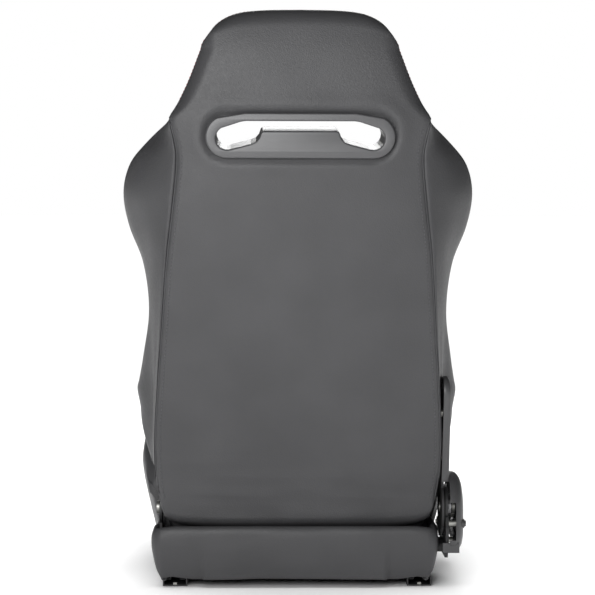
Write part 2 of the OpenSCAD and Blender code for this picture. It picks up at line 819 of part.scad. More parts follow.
// One level of a wing: it wraps round the edge of the rear cover and stands forward of the pad
function back_wing_ring(z0) =
  let (lift = max(0, 1.33 * (330 - z0) / (330 - 176)),
       inner = back_pad_half + 2, seam = panel_x(z0) + 1.5, out = max(outline_x(z0), seam + 5),
       flank = min(max(curve(FLANK, z0), seam + 3), out - 1), front = curve(WING, z0),
       pad = back_thickness - 4)
  [for (p = [[seam, pocket + 2], [seam, 5], [seam + (flank - seam) * 0.6, 8], [flank, 68],
             [lerp(flank, out, 0.75), lerp(68, front, 0.3)], [out, lerp(68, front, 0.6)],
             [out - 2, front - 16], [out - 11, front - 3], [out - 26, front],
             [out - 44, lerp(front, pad, 0.25)],
             [lerp(inner, out - 44, 0.35), lerp(front, pad, 0.75)], [inner + 3, pad], [inner, pocket + 12],
             [inner, pocket + 2]])
   let (z = z0 + max(0, p[1] - 60) * lift) [p[0], rear_y(z) + p[1], z]];
function lerp(a, b, t) = a + (b - a) * t;

module back_bolster(side) {
  levels = concat([772, 756], steps(740, 360, 14), [320, 285, 250, 220, 195, 176]);
  color(leather) on_side(side) difference() {
    intersection() {
      loft([for (z = levels) back_wing_ring(z)]);
      below_slot(slot_high - 2);
    }
    for (p = arm_bolt_places) on_back() pin_x(190, BIG / 4, p, 9);
  }
}

function head_ring(z) =
  let (x = outline_x(min(z, 862)) * (z > 862 ? sqrt(max(0.05, 1 - ((z - 862) / 69) ^ 2.4)) : 1) - 2,
       y = rear_y(z) + pocket + 1,
       d = back_thickness - pocket + curve([[760, 0], [850, 8], [900, 2], [930, -22]], z))
  [for (p = concat([[-x, 0], [x, 0], [x, d * 0.35]],
                   [for (a = [20:20:160]) [x * cos(a) / 0.94, d * (0.4 + 0.6 * sin(a))]],
                   [[-x, d * 0.35]]))
   [min(max(p[0], -x), x), y + p[1], z]];

module head_pad() {
  color(leather) intersection() {
    loft([for (z = concat([926, 918, 908, 896, 880], steps(862, 740, 7))) head_ring(z)]);
    above_slot(slot_high);
  }
}

// ---- assembly -----------------------------------------------------------------------------

lower_rail(LEFT);  // lower_rail_left
lower_rail(RIGHT);  // lower_rail_right
rail_stops();
roller_cages();
rail_balls();
upper_rail(LEFT);  // upper_rail_left
upper_rail(RIGHT);  // upper_rail_right
base_side(LEFT);  // base_side_left
base_side(RIGHT);  // base_side_right
base_front_tube();
base_rear_tube();
seat_springs();
rail_bolts();
latch_pins();
seat_pad();
seat_bolster(LEFT);  // seat_bolster_left
seat_bolster(RIGHT);  // seat_bolster_right
seat_front_roll();
seat_rear_roll();
hinge_bracket_left();
hinge_bolt_left();
recliner_plate_right();
recliner_pin_right();
recliner_spring();
recliner_bolts();
recliner_pod();
pod_standoffs();
pod_screws();
pawl_pin();
lock_pawl();
lever_shaft();
lever_arm();
lever_grip();
slide_bar();
slide_bar_grip();
latch_plates();
back_upright(LEFT);  // back_upright_left
back_upright(RIGHT);  // back_upright_right
head_hoop();
back_cross_lower();
back_cross_upper();
back_springs();
wing_wire(LEFT);  // wing_wire_left
wing_wire(RIGHT);  // wing_wire_right
hinge_arm_left();
recliner_arm_right();
arm_bolts();
arm_cover_right();
rear_cover();
back_pad();
back_base_roll();
back_bolster(LEFT);  // back_bolster_left
back_bolster(RIGHT);  // back_bolster_right
head_pad();
harness_bezel_rear();
harness_bezel_front();
harness_sleeve();
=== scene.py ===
"""Reclining sport seat: upholstery, mouldings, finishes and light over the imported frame.

Shapes are worked out in millimetres with the same tables as the frame and turned to metres
in mesh_piece. +X is the occupant's right, +Y the way the occupant faces, +Z up.
"""

import json
from math import cos, exp, hypot, pi, radians, sin, sqrt, tau

import bmesh
import bpy
from mathutils import Matrix, Quaternion, Vector, noise
from mathutils.bvhtree import BVHTree


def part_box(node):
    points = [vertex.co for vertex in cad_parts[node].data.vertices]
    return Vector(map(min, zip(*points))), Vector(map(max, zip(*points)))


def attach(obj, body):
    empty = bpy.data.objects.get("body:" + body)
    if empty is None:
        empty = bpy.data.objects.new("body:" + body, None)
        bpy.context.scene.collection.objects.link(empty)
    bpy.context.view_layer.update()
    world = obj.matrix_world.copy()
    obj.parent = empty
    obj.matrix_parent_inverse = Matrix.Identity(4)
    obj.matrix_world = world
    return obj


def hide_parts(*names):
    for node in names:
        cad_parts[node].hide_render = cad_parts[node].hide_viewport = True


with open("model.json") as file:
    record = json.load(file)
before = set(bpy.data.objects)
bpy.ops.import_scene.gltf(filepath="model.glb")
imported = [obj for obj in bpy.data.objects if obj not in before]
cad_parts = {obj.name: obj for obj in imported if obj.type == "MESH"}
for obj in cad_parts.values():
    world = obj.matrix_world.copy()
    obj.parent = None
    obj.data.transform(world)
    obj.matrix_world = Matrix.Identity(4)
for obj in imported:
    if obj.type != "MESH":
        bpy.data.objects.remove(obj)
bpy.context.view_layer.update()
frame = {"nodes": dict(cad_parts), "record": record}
MM = 0.001

# ---- driving dimensions, in mm --------------------------------------------------------------

SEAT_HEIGHT = 930
SHOULDER, WAIST, LUMBAR = 284, 243, 264
BACK_T, WING_D, POCKET = 108, 172, 46
BACK_PAD_HALF, SEAT_PAD_HALF = 150, 163
SLOT_Z, SLOT_TILT = 733, 5
PIVOT_Y, PIVOT_Z = -200, 125
ARM_RAKE = radians(14)          # the recliner arm and hinge arm lean back with the seat
SIDES = ((1, "right"), (-1, "left"))
HEAD_FROM = 762                 # height of the head's corner, where the wings end
PANEL_SEAM, SEAT_SEAM = 112, 118    # half widths between the pads' long seams
CUSHION_REAR, CUSHION_HALF = 262, 262
RAIL_H = 16
SKIRT_HALF, SKIRT_TOP = 234, 102

# heights with the rear surface, outline, panel seam, flank and wing front at each
REAR = [(60, -226), (125, -241), (300, -284), (480, -327), (620, -354), (740, -368),
        (860, -372), (930, -366)]
OUTLINE = [(180, 246), (235, 254), (300, LUMBAR), (370, LUMBAR - 10), (455, WAIST), (530, 252),
           (590, 275), (645, SHOULDER), (692, 271), (725, 243), (762, 206), (808, 180), (868, 156)]
PANEL = [(86, 214), (124, 219), (136, 223), (150, 226.5), (180, 230), (250, 231), (343, 225),
         (432, 218), (535, 210), (647, 197), (701, 193), (731, 198), (762, 206)]
FLANK = [(180, 233), (370, 234), (455, 237), (530, 241), (600, 255), (645, 262), (700, 247),
         (730, 225), (755, 214)]
WING = [(180, WING_D - 22), (300, WING_D), (455, WING_D - 34), (560, WING_D - 12),
        (645, WING_D + 6), (700, WING_D - 22), (770, BACK_T + 2)]
# positions along the cushion with the height of a side wing and how far it draws in
CREST = [(-112, 158), (-92, 190), (-50, 218), (20, 234), (100, 236), (190, 226), (235, 212),
         (262, 188)]
TUCK = [(-112, 12), (-60, 2), (0, 0), (150, 2), (225, 10), (262, 30)]


# ---- curves ---------------------------------------------------------------------------------

def lerp(a, b, t):
    return a + (b - a) * t


def curve(table, x):
    """Smooth curve through a table of (position, value) pairs."""
    if x <= table[0][0]:
        return table[0][1]
    if x >= table[-1][0]:
        return table[-1][1]
    i = max(k for k in range(len(table) - 1) if table[k][0] <= x)

    def slope(k):
        a, b = max(k - 1, 0), min(k + 1, len(table) - 1)
        return (table[b][1] - table[a][1]) / (table[b][0] - table[a][0])

    h = table[i + 1][0] - table[i][0]
    s = (x - table[i][0]) / h
    return ((2 * s**3 - 3 * s**2 + 1) * table[i][1] + (s**3 - 2 * s**2 + s) * h * slope(i)
            + (3 * s**2 - 2 * s**3) * table[i + 1][1] + (s**3 - s**2) * h * slope(i + 1))


def steps(a, b, n):
    return [a + (b - a) * i / n for i in range(n + 1)]


def spline(points, n, closed=False):
    """n points, evenly spaced, on a smooth curve through the given points."""
    p = [Vector(q) for q in points]
    last = len(p) if closed else len(p) - 1
    dense = []
    for i in range(last):
        at = [p[(i + k) % len(p)] if closed else p[min(max(i + k, 0), len(p) - 1)]
              for k in (-1, 0, 1, 2)]
        span = (at[2] - at[1]).length
        before = max((at[1] - at[0]).length, 1e-6)
        after = max((at[3] - at[2]).length, 1e-6)
        m1 = (at[2] - at[0]) * (span / (span + before)) if i or closed else at[2] - at[1]
        m2 = (at[3] - at[1]) * (span / (span + after)) if closed or i < last - 1 else at[2] - at[1]
        for s in (k / 10 for k in range(10)):
            dense.append((2 * s**3 - 3 * s**2 + 1) * at[1] + (s**3 - 2 * s**2 + s) * m1
                         + (3 * s**2 - 2 * s**3) * at[2] + (s**3 - s**2) * m2)
    dense.append(p[0] if closed else p[-1])
    return resample(dense, n, closed)


def smooth_ring(points, n):
    return [tuple(p) for p in spline(points, n, closed=True)]


def resample(path, n, closed=False):
    """n points evenly spaced along a polyline, whose first point is repeated at its end if closed."""
    lengths = [0.0]
    for a, b in zip(path, path[1:]):
        lengths.append(lengths[-1] + (b - a).length)
    out, k = [], 0
    for i in range(n):
        want = lengths[-1] * i / (n if closed else n - 1)
        while k < len(path) - 2 and lengths[k + 1] < want:
            k += 1
        part = (want - lengths[k]) / max(lengths[k + 1] - lengths[k], 1e-9)
        out.append(path[k].lerp(path[k + 1], min(part, 1.0)))
    return out


def rear_y(z):
    return curve(REAR, z)


def outline_x(z):
    return curve(OUTLINE, z)


def panel_x(z):
    return curve(PANEL, z)


def ripple(x, y, z, seed):
    """Smooth noise from -1 to 1."""
    return noise.noise(Vector((x, y, z + 17.3 * seed)))


# ---- meshes ---------------------------------------------------------------------------------

def placed(name, mesh, smooth=True):
    """A new object of a mesh, in the scene."""
    for polygon in mesh.polygons:
        polygon.use_smooth = smooth
    piece = bpy.data.objects.new(name, mesh)
    bpy.context.scene.collection.objects.link(piece)
    return piece


def mesh_piece(name, points, faces, smooth=True):
    """A new object from points in millimetres."""
    mesh = bpy.data.meshes.new(name)
    mesh.from_pydata([tuple(c * MM for c in p) for p in points], [], faces)
    work = bmesh.new()
    work.from_mesh(mesh)
    bmesh.ops.recalc_face_normals(work, faces=work.faces)
    work.to_mesh(mesh)
    work.free()
    return placed(name, mesh, smooth)


def ring_faces(rows, n, start=0):
    """Quads between rings of n points, one after another."""
    return [(start + r * n + i, start + r * n + (i + 1) % n,
             start + (r + 1) * n + (i + 1) % n, start + (r + 1) * n + i)
            for r in range(rows - 1) for i in range(n)]


def lofted(name, rings):
    """A closed solid through rings, each end drawn in to a point."""
    n = len(rings[0])
    points = [p for ring in rings for p in ring]
    faces = ring_faces(len(rings), n)
    for ring, first in ((rings[0], 0), (rings[-1], (len(rings) - 1) * n)):
        centre = len(points)
        points.append(sum((Vector(p) for p in ring), Vector()) / n)
        faces += [(first + i, first + (i + 1) % n, centre) for i in range(n)]
    return mesh_piece(name, points, faces)


def pillow(name, rows, columns, place):
    """A closed solid from two grids that meet all round their edge.

    place(row, u) is a point of the outer grid and the matching one of the inner.
    """
    pairs = [place(row, u) for row in rows for u in columns]
    points = [outer for outer, _ in pairs] + [inner for _, inner in pairs]
    rows, cols = len(rows), len(columns)
    half = rows * cols

    def quads(first):
        return [(first + r * cols + c, first + r * cols + c + 1,
                 first + (r + 1) * cols + c + 1, first + (r + 1) * cols + c)
                for r in range(rows - 1) for c in range(cols - 1)]

    edge = ([c for c in range(cols)] + [r * cols + cols - 1 for r in range(1, rows)]
            + [(rows - 1) * cols + c for c in range(cols - 2, -1, -1)]
            + [r * cols for r in range(rows - 2, 0, -1)])
    faces = quads(0) + quads(half)
    faces += [(a, b, b + half, a + half) for a, b in zip(edge, edge[1:] + edge[:1])]
    return mesh_piece(name, points, faces)


def joined(name, pieces):
    """One object from several."""
    work = bmesh.new()
    for piece in pieces:
        work.from_mesh(piece.data)
        bpy.data.objects.remove(piece)
    mesh = bpy.data.meshes.new(name)
    work.to_mesh(mesh)
    work.free()
    return placed(name, mesh)


def mirrored(piece, name):
    """A copy of a right hand piece for the left."""
    copy = piece.copy()
    copy.data = piece.data.copy()
    copy.name = name
    copy.data.transform(Matrix.Scale(-1, 4, (1, 0, 0)))
    copy.data.flip_normals()
    bpy.context.scene.collection.objects.link(copy)
    return copy


def settle(piece, keep_still, pressure=4.0, cap=6.0, frames=16):
    """Swells a piece with a short cloth simulation, never further than cap mm.

    keep_still(x, y, z), in mm, is how firmly a point is held.
    """
    start = [v.co.copy() for v in piece.data.vertices]
    group = piece.vertex_groups.new(name="held")
    for i, co in enumerate(start):
        held = keep_still(*(co / MM))
        if held > 0:
            group.add([i], min(held, 1.0), "REPLACE")
    cloth = piece.modifiers.new("cloth", "CLOTH")
    cloth.settings.quality = 4
    cloth.settings.mass = 0.4
    cloth.settings.tension_stiffness = 18
    cloth.settings.compression_stiffness = 18
    cloth.settings.shear_stiffness = 8
    cloth.settings.bending_stiffness = 2.0
    cloth.settings.use_pressure = True
    cloth.settings.uniform_pressure_force = pressure
    cloth.settings.effector_weights.gravity = 0
    cloth.settings.vertex_group_mass = "held"
    cloth.collision_settings.use_collision = False
    cloth.point_cache.frame_start = 1
    cloth.point_cache.frame_end = frames
    for f in range(1, frames + 1):
        bpy.context.scene.frame_set(f)
    graph = bpy.context.evaluated_depsgraph_get()
    shaped = piece.evaluated_get(graph).to_mesh()
    moved = [v.co.copy() for v in shaped.vertices]
    piece.evaluated_get(graph).to_mesh_clear()
    piece.modifiers.remove(cloth)
    bpy.context.scene.frame_set(1)
    for v, a, b in zip(piece.data.vertices, start, moved):
        step = b - a
        reach = step.length
        v.co = a + step * (cap * MM * (1 - exp(-reach / (cap * MM))) / reach if reach > 1e-9 else 0)
    piece.data.update()


def subdivided(piece, levels=1):
    m = piece.modifiers.new("subdivision", "SUBSURF")
    m.levels = levels
    m.render_levels = levels


def pinch(distance, width, depth):
    """Depth of a sewn groove at a distance from its seam."""
    return depth * exp(-(distance / width) ** 2)


# ---- materials ------------------------------------------------------------------------------

def new_material(name, color, roughness, metallic=0.0):
    m = bpy.data.materials.new(name)
    m.use_nodes = True
    shader = m.node_tree.nodes["Principled BSDF"]
    shader.inputs["Base Color"].default_value = (*color, 1)
    shader.inputs["Roughness"].default_value = roughness
    shader.inputs["Metallic"].default_value = metallic
    return m, m.node_tree, shader


def texture(tree, kind, scale, stretch=(1, 1, 1), **sockets):
    """A procedural texture in the object's own space, at a scale per metre."""
    where = tree.nodes.new("ShaderNodeTexCoord")
    turn = tree.nodes.new("ShaderNodeMapping")
    turn.inputs["Scale"].default_value = stretch
    node = tree.nodes.new(kind)
    node.inputs["Scale"].default_value = scale
    for socket, value in sockets.items():
        node.inputs[socket].default_value = value
    tree.links.new(where.outputs["Object"], turn.inputs["Vector"])
    tree.links.new(turn.outputs["Vector"], node.inputs["Vector"])
    return node


def ramp(tree, source, low, high, start=0.3, end=0.7):
    """Two tones mixed by a texture."""
    node = tree.nodes.new("ShaderNodeValToRGB")
    node.color_ramp.elements[0].position = start
    node.color_ramp.elements[0].color = (*low, 1)
    node.color_ramp.elements[1].position = end
    node.color_ramp.elements[1].color = (*high, 1)
    tree.links.new(source, node.inputs["Fac"])
    return node.outputs["Color"]


def span(tree, source, low, high):
    """A texture's value moved to a range."""
    node = tree.nodes.new("ShaderNodeMapRange")
    node.inputs["From Min"].default_value = 0.25
    node.inputs["From Max"].default_value = 0.75
    node.inputs["To Min"].default_value = low
    node.inputs["To Max"].default_value = high
    tree.links.new(source, node.inputs["Value"])
    return node.outputs["Result"]


def bump(tree, shader, layers):
    """Stacks bumps, each a (height output, depth in mm)."""
    previous = None
    for height, depth in layers:
        node = tree.nodes.new("ShaderNodeBump")
        node.inputs["Strength"].default_value = 1.0
        node.inputs["Distance"].default_value = depth * MM
        tree.links.new(height, node.inputs["Height"])
        if previous:
            tree.links.new(previous, node.inputs["Normal"])
        previous = node.outputs["Normal"]
    tree.links.new(previous, shader.inputs["Normal"])


def tones(color, spread):
    """A darker and a lighter tone of a colour."""
    return tuple(c * (1 - spread) for c in color), tuple(c * (1 + spread) for c in color)


def vary(tree, shader, tone, colors, grain, roughs, limits=(0.3, 0.7)):
    """Lets one texture set the colour and another the roughness."""
    tree.links.new(ramp(tree, tone.outputs["Fac"], *colors, *limits), shader.inputs["Base Color"])
    tree.links.new(span(tree, grain.outputs["Fac"], *roughs), shader.inputs["Roughness"])


def leather(name, color, rough=0.44):
    """Embossed PVC leather: fine cells, pores between them and slow changes of tone."""
    m, tree, shader = new_material(name, color, rough)
    cells = texture(tree, "ShaderNodeTexVoronoi", 620)
    cells.feature = "SMOOTH_F1"
    creases = texture(tree, "ShaderNodeTexNoise", 210, Detail=4.0, Roughness=0.6)
    slow = texture(tree, "ShaderNodeTexNoise", 9, Detail=2.0)
    bump(tree, shader, [(cells.outputs["Distance"], 0.22), (creases.outputs["Fac"], 0.3)])
    vary(tree, shader, slow, tones(color, 0.09), creases, (rough - 0.05, rough + 0.07))
    shader.inputs["Specular IOR Level"].default_value = 0.32
    return m


def moulded(name, color, rough, grain=900, depth=0.06):
    """Injection moulded plastic with a spark eroded texture."""
    m, tree, shader = new_material(name, color, rough)
    fine = texture(tree, "ShaderNodeTexNoise", grain, Detail=3.0)
    slow = texture(tree, "ShaderNodeTexNoise", 14, Detail=2.0)
    bump(tree, shader, [(fine.outputs["Fac"], depth)])
    vary(tree, shader, slow, tones(color, 0.06), fine, (rough - 0.05, rough + 0.05))
    return m


def coated_steel(name, color, rough):
    """Black coated steel: slight orange peel, and bare metal rubbed through in specks."""
    m, tree, shader = new_material(name, color, rough)
    peel = texture(tree, "ShaderNodeTexNoise", 320, Detail=2.0)
    rub = texture(tree, "ShaderNodeTexNoise", 55, Detail=6.0, Roughness=0.7)
    bare = (0.16, 0.16, 0.16)
    bump(tree, shader, [(peel.outputs["Fac"], 0.08)])
    vary(tree, shader, rub, (color, bare), rub, (rough - 0.06, rough + 0.1), (0.66, 0.76))
    return m


def bright_metal(name, color, rough, stretch=(1, 1, 1)):
    """Drawn or plated metal with fine lines along it."""
    m, tree, shader = new_material(name, color, rough, 1.0)
    lines = texture(tree, "ShaderNodeTexNoise", 240, stretch, Detail=3.0)
    stain = texture(tree, "ShaderNodeTexNoise", 40, Detail=4.0)
    bump(tree, shader, [(lines.outputs["Fac"], 0.03)])
    vary(tree, shader, stain, tones(color, 0.12), lines, (rough - 0.08, rough + 0.1))
    return m


def thread(name, color):
    """Twisted sewing thread."""
    m, tree, shader = new_material(name, color, 0.6)
    twist = texture(tree, "ShaderNodeTexWave", 700, Distortion=1.0)
    bump(tree, shader, [(twist.outputs["Fac"], 0.15)])
    tree.links.new(ramp(tree, twist.outputs["Fac"], *tones(color, 0.2)), shader.inputs["Base Color"])
    return m


LEATHER = leather("pvc_leather", (0.052, 0.052, 0.0545))
PIPING = leather("piping_leather", (0.06, 0.06, 0.063), 0.4)
BEZEL = moulded("bezel_plastic", (0.066, 0.066, 0.069), 0.36)
COVER = moulded("cover_plastic", (0.05, 0.05, 0.052), 0.42, 700, 0.1)
NYLON = moulded("cage_plastic", (0.6, 0.6, 0.57), 0.5)
RUBBER = moulded("grip_rubber", (0.02, 0.02, 0.02), 0.72, 420, 0.25)
E_COAT = coated_steel("rail_steel", (0.02, 0.02, 0.021), 0.42)
PAINT = coated_steel("frame_paint", (0.014, 0.014, 0.015), 0.5)
ZINC = bright_metal("zinc", (0.34, 0.34, 0.32), 0.42)
WIRE = bright_metal("spring_steel", (0.3, 0.3, 0.31), 0.4, (0.2, 1, 1))
SCREW = coated_steel("black_screw", (0.02, 0.02, 0.02), 0.35)
GREY_THREAD = thread("grey_thread", (0.09, 0.09, 0.095))
RED_THREAD = thread("red_thread", (0.42, 0.03, 0.035))

FINISHES = {"rail_steel": E_COAT, "zinc": ZINC, "cage_plastic": NYLON, "frame_paint": PAINT,
            "spring_steel": WIRE, "pvc_leather": LEATHER, "cover_plastic": COVER,
            "black_screw": SCREW, "grip_rubber": RUBBER, "bezel_plastic": BEZEL}


def finish_frame():
    """Gives every node of the frame the material of its slot."""
    for sub in frame["record"]["subparts"]:
        node = frame["nodes"][sub["node"]]
        if not node.material_slots:
            node.data.materials.append(None)
        for place in node.material_slots:
            place.link = "OBJECT"
            place.material = FINISHES[sub["material_slot"]]


def dress(piece, material, body):
    """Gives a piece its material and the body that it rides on."""
    piece.data.materials.clear()
    piece.data.materials.append(material)
    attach(piece, body)


def upholster(piece, body, fill, *nodes):
    """Leather, its body and the nodes that it stands for. The fill argument, how full it is, is not
    used.
    """
    dress(piece, LEATHER, body)
    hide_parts(*nodes)


# ---- sewing ---------------------------------------------------------------------------------

def surface_of(piece):
    """A tree for finding the nearest point of a piece, modifiers included."""
    graph = bpy.context.evaluated_depsgraph_get()
    return BVHTree.FromObject(piece, graph)


def laid_on(tree, path):
    """The path drawn on to the surface: (point, normal) pairs in metres."""
    out = []
    for p in path:
        hit, normal, _, _ = tree.find_nearest(Vector(p) * MM)
        out.append((hit, normal))
    return out


def seam_frames(piece, path, count):
    """(point in mm, along, side, up) at even places on a path laid on the piece."""
    laid = laid_on(surface_of(piece), resample(path, count))
    for i, (p, normal) in enumerate(laid):
        a, b = laid[max(i - 1, 0)][0], laid[min(i + 1, len(laid) - 1)][0]
        along = (b - a).normalized()
        side = along.cross(normal).normalized()
        yield p / MM, along, side, side.cross(along).normalized()


def length_of(path):
    return sum((b - a).length for a, b in zip(path, path[1:]))


def piping(name, piece, path, radius, body, sink=0.35):
    """A welt along a seam, sunk in the surface by part of its radius."""
    path = [Vector(p) for p in path]
    rings = []
    for p, _, side, up in seam_frames(piece, path, max(int(length_of(path) / 5), 4)):
        centre = p + up * radius * (1 - 2 * sink)
        rings.append([centre + radius * (cos(tau * k / 10) * side + sin(tau * k / 10) * up)
                      for k in range(10)])
    dress(lofted(name, rings), PIPING, body)


def stitches(name, piece, path, body, material, pitch=6.0, length=4.2, width=0.55):
    """A row of thread stitches laid on the surface."""
    path = [Vector(p) for p in path]
    points, faces = [], []
    for p, along, side, up in seam_frames(piece, path, max(int(length_of(path) / pitch), 2)):
        centre = p + up * 0.15
        first = len(points)
        for s, r in ((-0.5, 0.35), (-0.36, 0.9), (0.0, 1.1), (0.36, 0.9), (0.5, 0.35)):
            sag = (0.25 - s * s) * 2.2 * width
            points += [centre + along * s * length + up * (sag + r * width * sin(tau * k / 6))
                       + side * r * width * cos(tau * k / 6) for k in range(6)]
        faces += ring_faces(5, 6, first)
        faces += [tuple(first + k for k in range(5, -1, -1)),
                  tuple(first + 24 + k for k in range(6))]
    dress(mesh_piece(name, points, faces), material, body)


# ---- rear cover -----------------------------------------------------------------------------

FOOT_EDGE = [(0, 95), (150, 97), (190, 101), (208, 107), (219, 116), (223.5, 131)]
TOP_EDGE = [(0, SEAT_HEIGHT), (56, SEAT_HEIGHT - 1), (92, SEAT_HEIGHT - 4.5),
            (114, SEAT_HEIGHT - 11.5), (132, SEAT_HEIGHT - 23.5), (146, SEAT_HEIGHT - 42)]
FOOT_Z, NECK_Z = 150, 868     # between these heights the cover's rows are level
FOOT_CURVE = spline([(x, 0, z) for x, z in FOOT_EDGE], 40)
TOP_CURVE = spline([(x, 0, z) for x, z in TOP_EDGE], 40)

BEZEL_HALF, BEZEL_HIGH, BEZEL_R = 148, 35, 33.5


def along_edge(edge, t):
    at = t * (len(edge) - 1)
    i = min(int(at), len(edge) - 2)
    return edge[i].lerp(edge[i + 1], at - i)


def cover_rows():
    """(kind, share) for each row of the rear cover, from its foot to the top of the head."""
    foot = [("foot", 1 - sin(pi / 2 * s)) for s in steps(0, 1, 9)[:-1]]
    body = [("body", s) for s in steps(0, 1, 100)]
    top = [("top", sin(pi / 2 * s)) for s in steps(0, 1, 16)[1:]]
    return foot + body + top


def cover_columns(n=34):
    half = [lerp(s, sin(pi / 2 * s), 0.7) for s in steps(0, 1, n)]
    return [-u for u in reversed(half[1:])] + half


def cover_place(u, kind, t):
    """(x, z) of a point of the back's outline: u runs from -1 at the left edge to 1 at the right."""
    side = 1 if u > 0 else -1
    if kind == "body":
        z = lerp(FOOT_Z, NECK_Z, t)
        return u * panel_or_head(z), z
    edge = along_edge(FOOT_CURVE if kind == "foot" else TOP_CURVE, abs(u))
    level = FOOT_Z if kind == "foot" else NECK_Z
    x = lerp(abs(u) * panel_or_head(level), edge.x, t)
    if kind == "top":
        x += 9 * t * (1 - t) * abs(u) ** 6
    return side * x, lerp(level, edge.z, t)


def panel_or_head(z):
    return panel_x(z) if z < HEAD_FROM else outline_x(z)


def head_share(z):
    """0 where wings meet the rear cover, 1 on the head above them."""
    t = min(max((z - 742) / 50, 0), 1)
    return t * t * (3 - 2 * t)


def roll(e, r):
    """How far a surface has turned away at a distance e from its rounded edge."""
    return r - sqrt(max(r * r - (r - e) ** 2, 0)) if e < r else 0


def slot_frame(x, z):
    """A place on the rear surface, in the frame of the harness slot."""
    return x, (z - SLOT_Z) / cos(radians(SLOT_TILT))


def bezel_distance(x, z):
    """Distance outside the harness slot's frame."""
    sx, sz = slot_frame(x, z)
    qx = abs(sx) - (BEZEL_HALF - BEZEL_R)
    qz = abs(sz) - (BEZEL_HIGH - BEZEL_R)
    return hypot(max(qx, 0), max(qz, 0)) + min(max(qx, qz), 0) - BEZEL_R


def cover_depth(u, kind, t, x, z):
    """How far the rear cover's surface lies in front of the smooth rear curve."""
    head = head_share(z)
    e = (1 - abs(u)) * panel_or_head(min(max(z, FOOT_Z), NECK_Z))
    if kind == "top":
        e = min(e, (1 - t) * (SEAT_HEIGHT - NECK_Z) * 1.02)
    if kind == "foot":
        e = min(e, (1 - t) * (FOOT_Z - 95))
    depth = 8 * abs(u) ** 4 * (1 - head) + 5 * abs(u) ** 3 * head
    depth += roll(e, lerp(8, 26, head)) * lerp(0.75, 1, head)
    near = exp(-e / 16)
    depth += near * (1 - head) * 0.9 * ripple(0, z / 11, 0, 1)
    low = max(0, min(1, (300 - z) / 150))
    depth += low * (2.6 * ripple(x / 170, z / 15, 0, 2) + 1.4 * ripple(x / 70, z / 22, 0, 3))
    depth += 0.7 * ripple(x / 75, z / 75, 0, 4)
    d = bezel_distance(x, z)
    depth += pinch(max(d + 2, 0), 6, 3.4) + pinch(d - 1, 2.4, 3.0) + (1.2 if d < -2 else 0)
    depth -= 1.5 * exp(-((d - 14) / 12) ** 2)
    return depth


def slot_place(x, d, h):
    """A point in the slot's frame: x along it, d into the back, h up."""
    c, s = cos(radians(SLOT_TILT)), sin(radians(SLOT_TILT))
    return (x, rear_y(SLOT_Z) + d * c - h * s, SLOT_Z + d * s + h * c)


def arc(cx, cz, r, a0, a1, n):
    return [(cx + r * cos(radians(a)), cz + r * sin(radians(a))) for a in steps(a0, a1, n)]


def both_sides(half):
    return half + [(-x, z) for x, z in reversed(half)]


def slot_outline(grow):
    """The slot: a long opening with two drooping lobes around a raised tongue."""
    half = [(0, 7 - grow)] + arc(56, 1, 6 - min(grow, 4), 90, 10, 5)
    half += [(64 - 0.8 * grow, -4 - 0.5 * grow), (69 - 0.5 * grow, -10 - 0.85 * grow),
             (77, -13.4 - grow)]
    half += arc(114, -4.3, 18 + grow, -106, 60, 16)
    half += [(93, 21.1 + grow), (85, 22.3 + grow), (0, 22.3 + grow)]
    return both_sides(half)


def bezel_outline(inset):
    half = arc(BEZEL_HALF - BEZEL_R, -2, BEZEL_R - inset, -90, 62, 18)
    half += [(96, BEZEL_HIGH - 1.5 - inset), (86, BEZEL_HIGH - inset)]
    return both_sides(half)


def slab(name, ends):
    """A flat shaded solid between two matching outlines."""
    n = len(ends[0])
    faces = ring_faces(2, n) + [tuple(range(n)), tuple(range(2 * n - 1, n - 1, -1))]
    return mesh_piece(name, ends[0] + ends[1], faces, smooth=False)


def prism(name, outline, d0, d1):
    """A solid along the slot's depth."""
    return slab(name, [[slot_place(x, d, h) for x, h in outline] for d in (d0, d1)])


def on_arm(u, v):
    """(y, z) of a point of the raked arm: u across it and v along it from the pivot."""
    return (PIVOT_Y + u * cos(ARM_RAKE) - v * sin(ARM_RAKE),
            PIVOT_Z + u * sin(ARM_RAKE) + v * cos(ARM_RAKE))


def raked_prism(name, corners, x0, x1):
    """A solid across the seat, with its outline laid along the raked arm."""
    return slab(name, [[(x, *on_arm(u, v)) for u, v in corners] for x in (x0, x1)])


def cut(piece, tool):
    """Takes a closed tool away from a piece for good."""
    m = piece.modifiers.new("cut", "BOOLEAN")
    m.operation = "DIFFERENCE"
    m.solver = "EXACT"
    m.object = tool
    graph = bpy.context.evaluated_depsgraph_get()
    mesh = bpy.data.meshes.new_from_object(piece.evaluated_get(graph))
    piece.modifiers.remove(m)
    piece.data = mesh
    bpy.data.objects.remove(tool)


def make_rear_cover():
    def place(row, u):
        x, z = cover_place(u, *row)
        return ((x, rear_y(z) + cover_depth(u, *row, x, z), z),
                (x * 0.992, rear_y(z) + POCKET - 2, min(z, SEAT_HEIGHT - 3)))

    cover = pillow("rear_cover_skin", cover_rows(), cover_columns(), place)
    cut(cover, prism("slot_tool", slot_outline(3.5), -30, 60))
    for side in (-1, 1):
        cut(cover, hinge_room(side))
    upholster(cover, "backrest", 0.8, "rear_cover")
    for side, name in SIDES:
        seam = [(side * (panel_x(z) + 0.5), rear_y(z) + 12, z) for z in steps(140, 752, 60)]
        piping("rear_seam_welt_" + name, cover, seam, 1.2, "backrest")
        row = [(side * (panel_x(z) - 8), rear_y(z) + 4, z) for z in steps(146, 740, 60)]
        stitches("rear_seam_stitches_" + name, cover, row, "backrest", GREY_THREAD)
    return cover


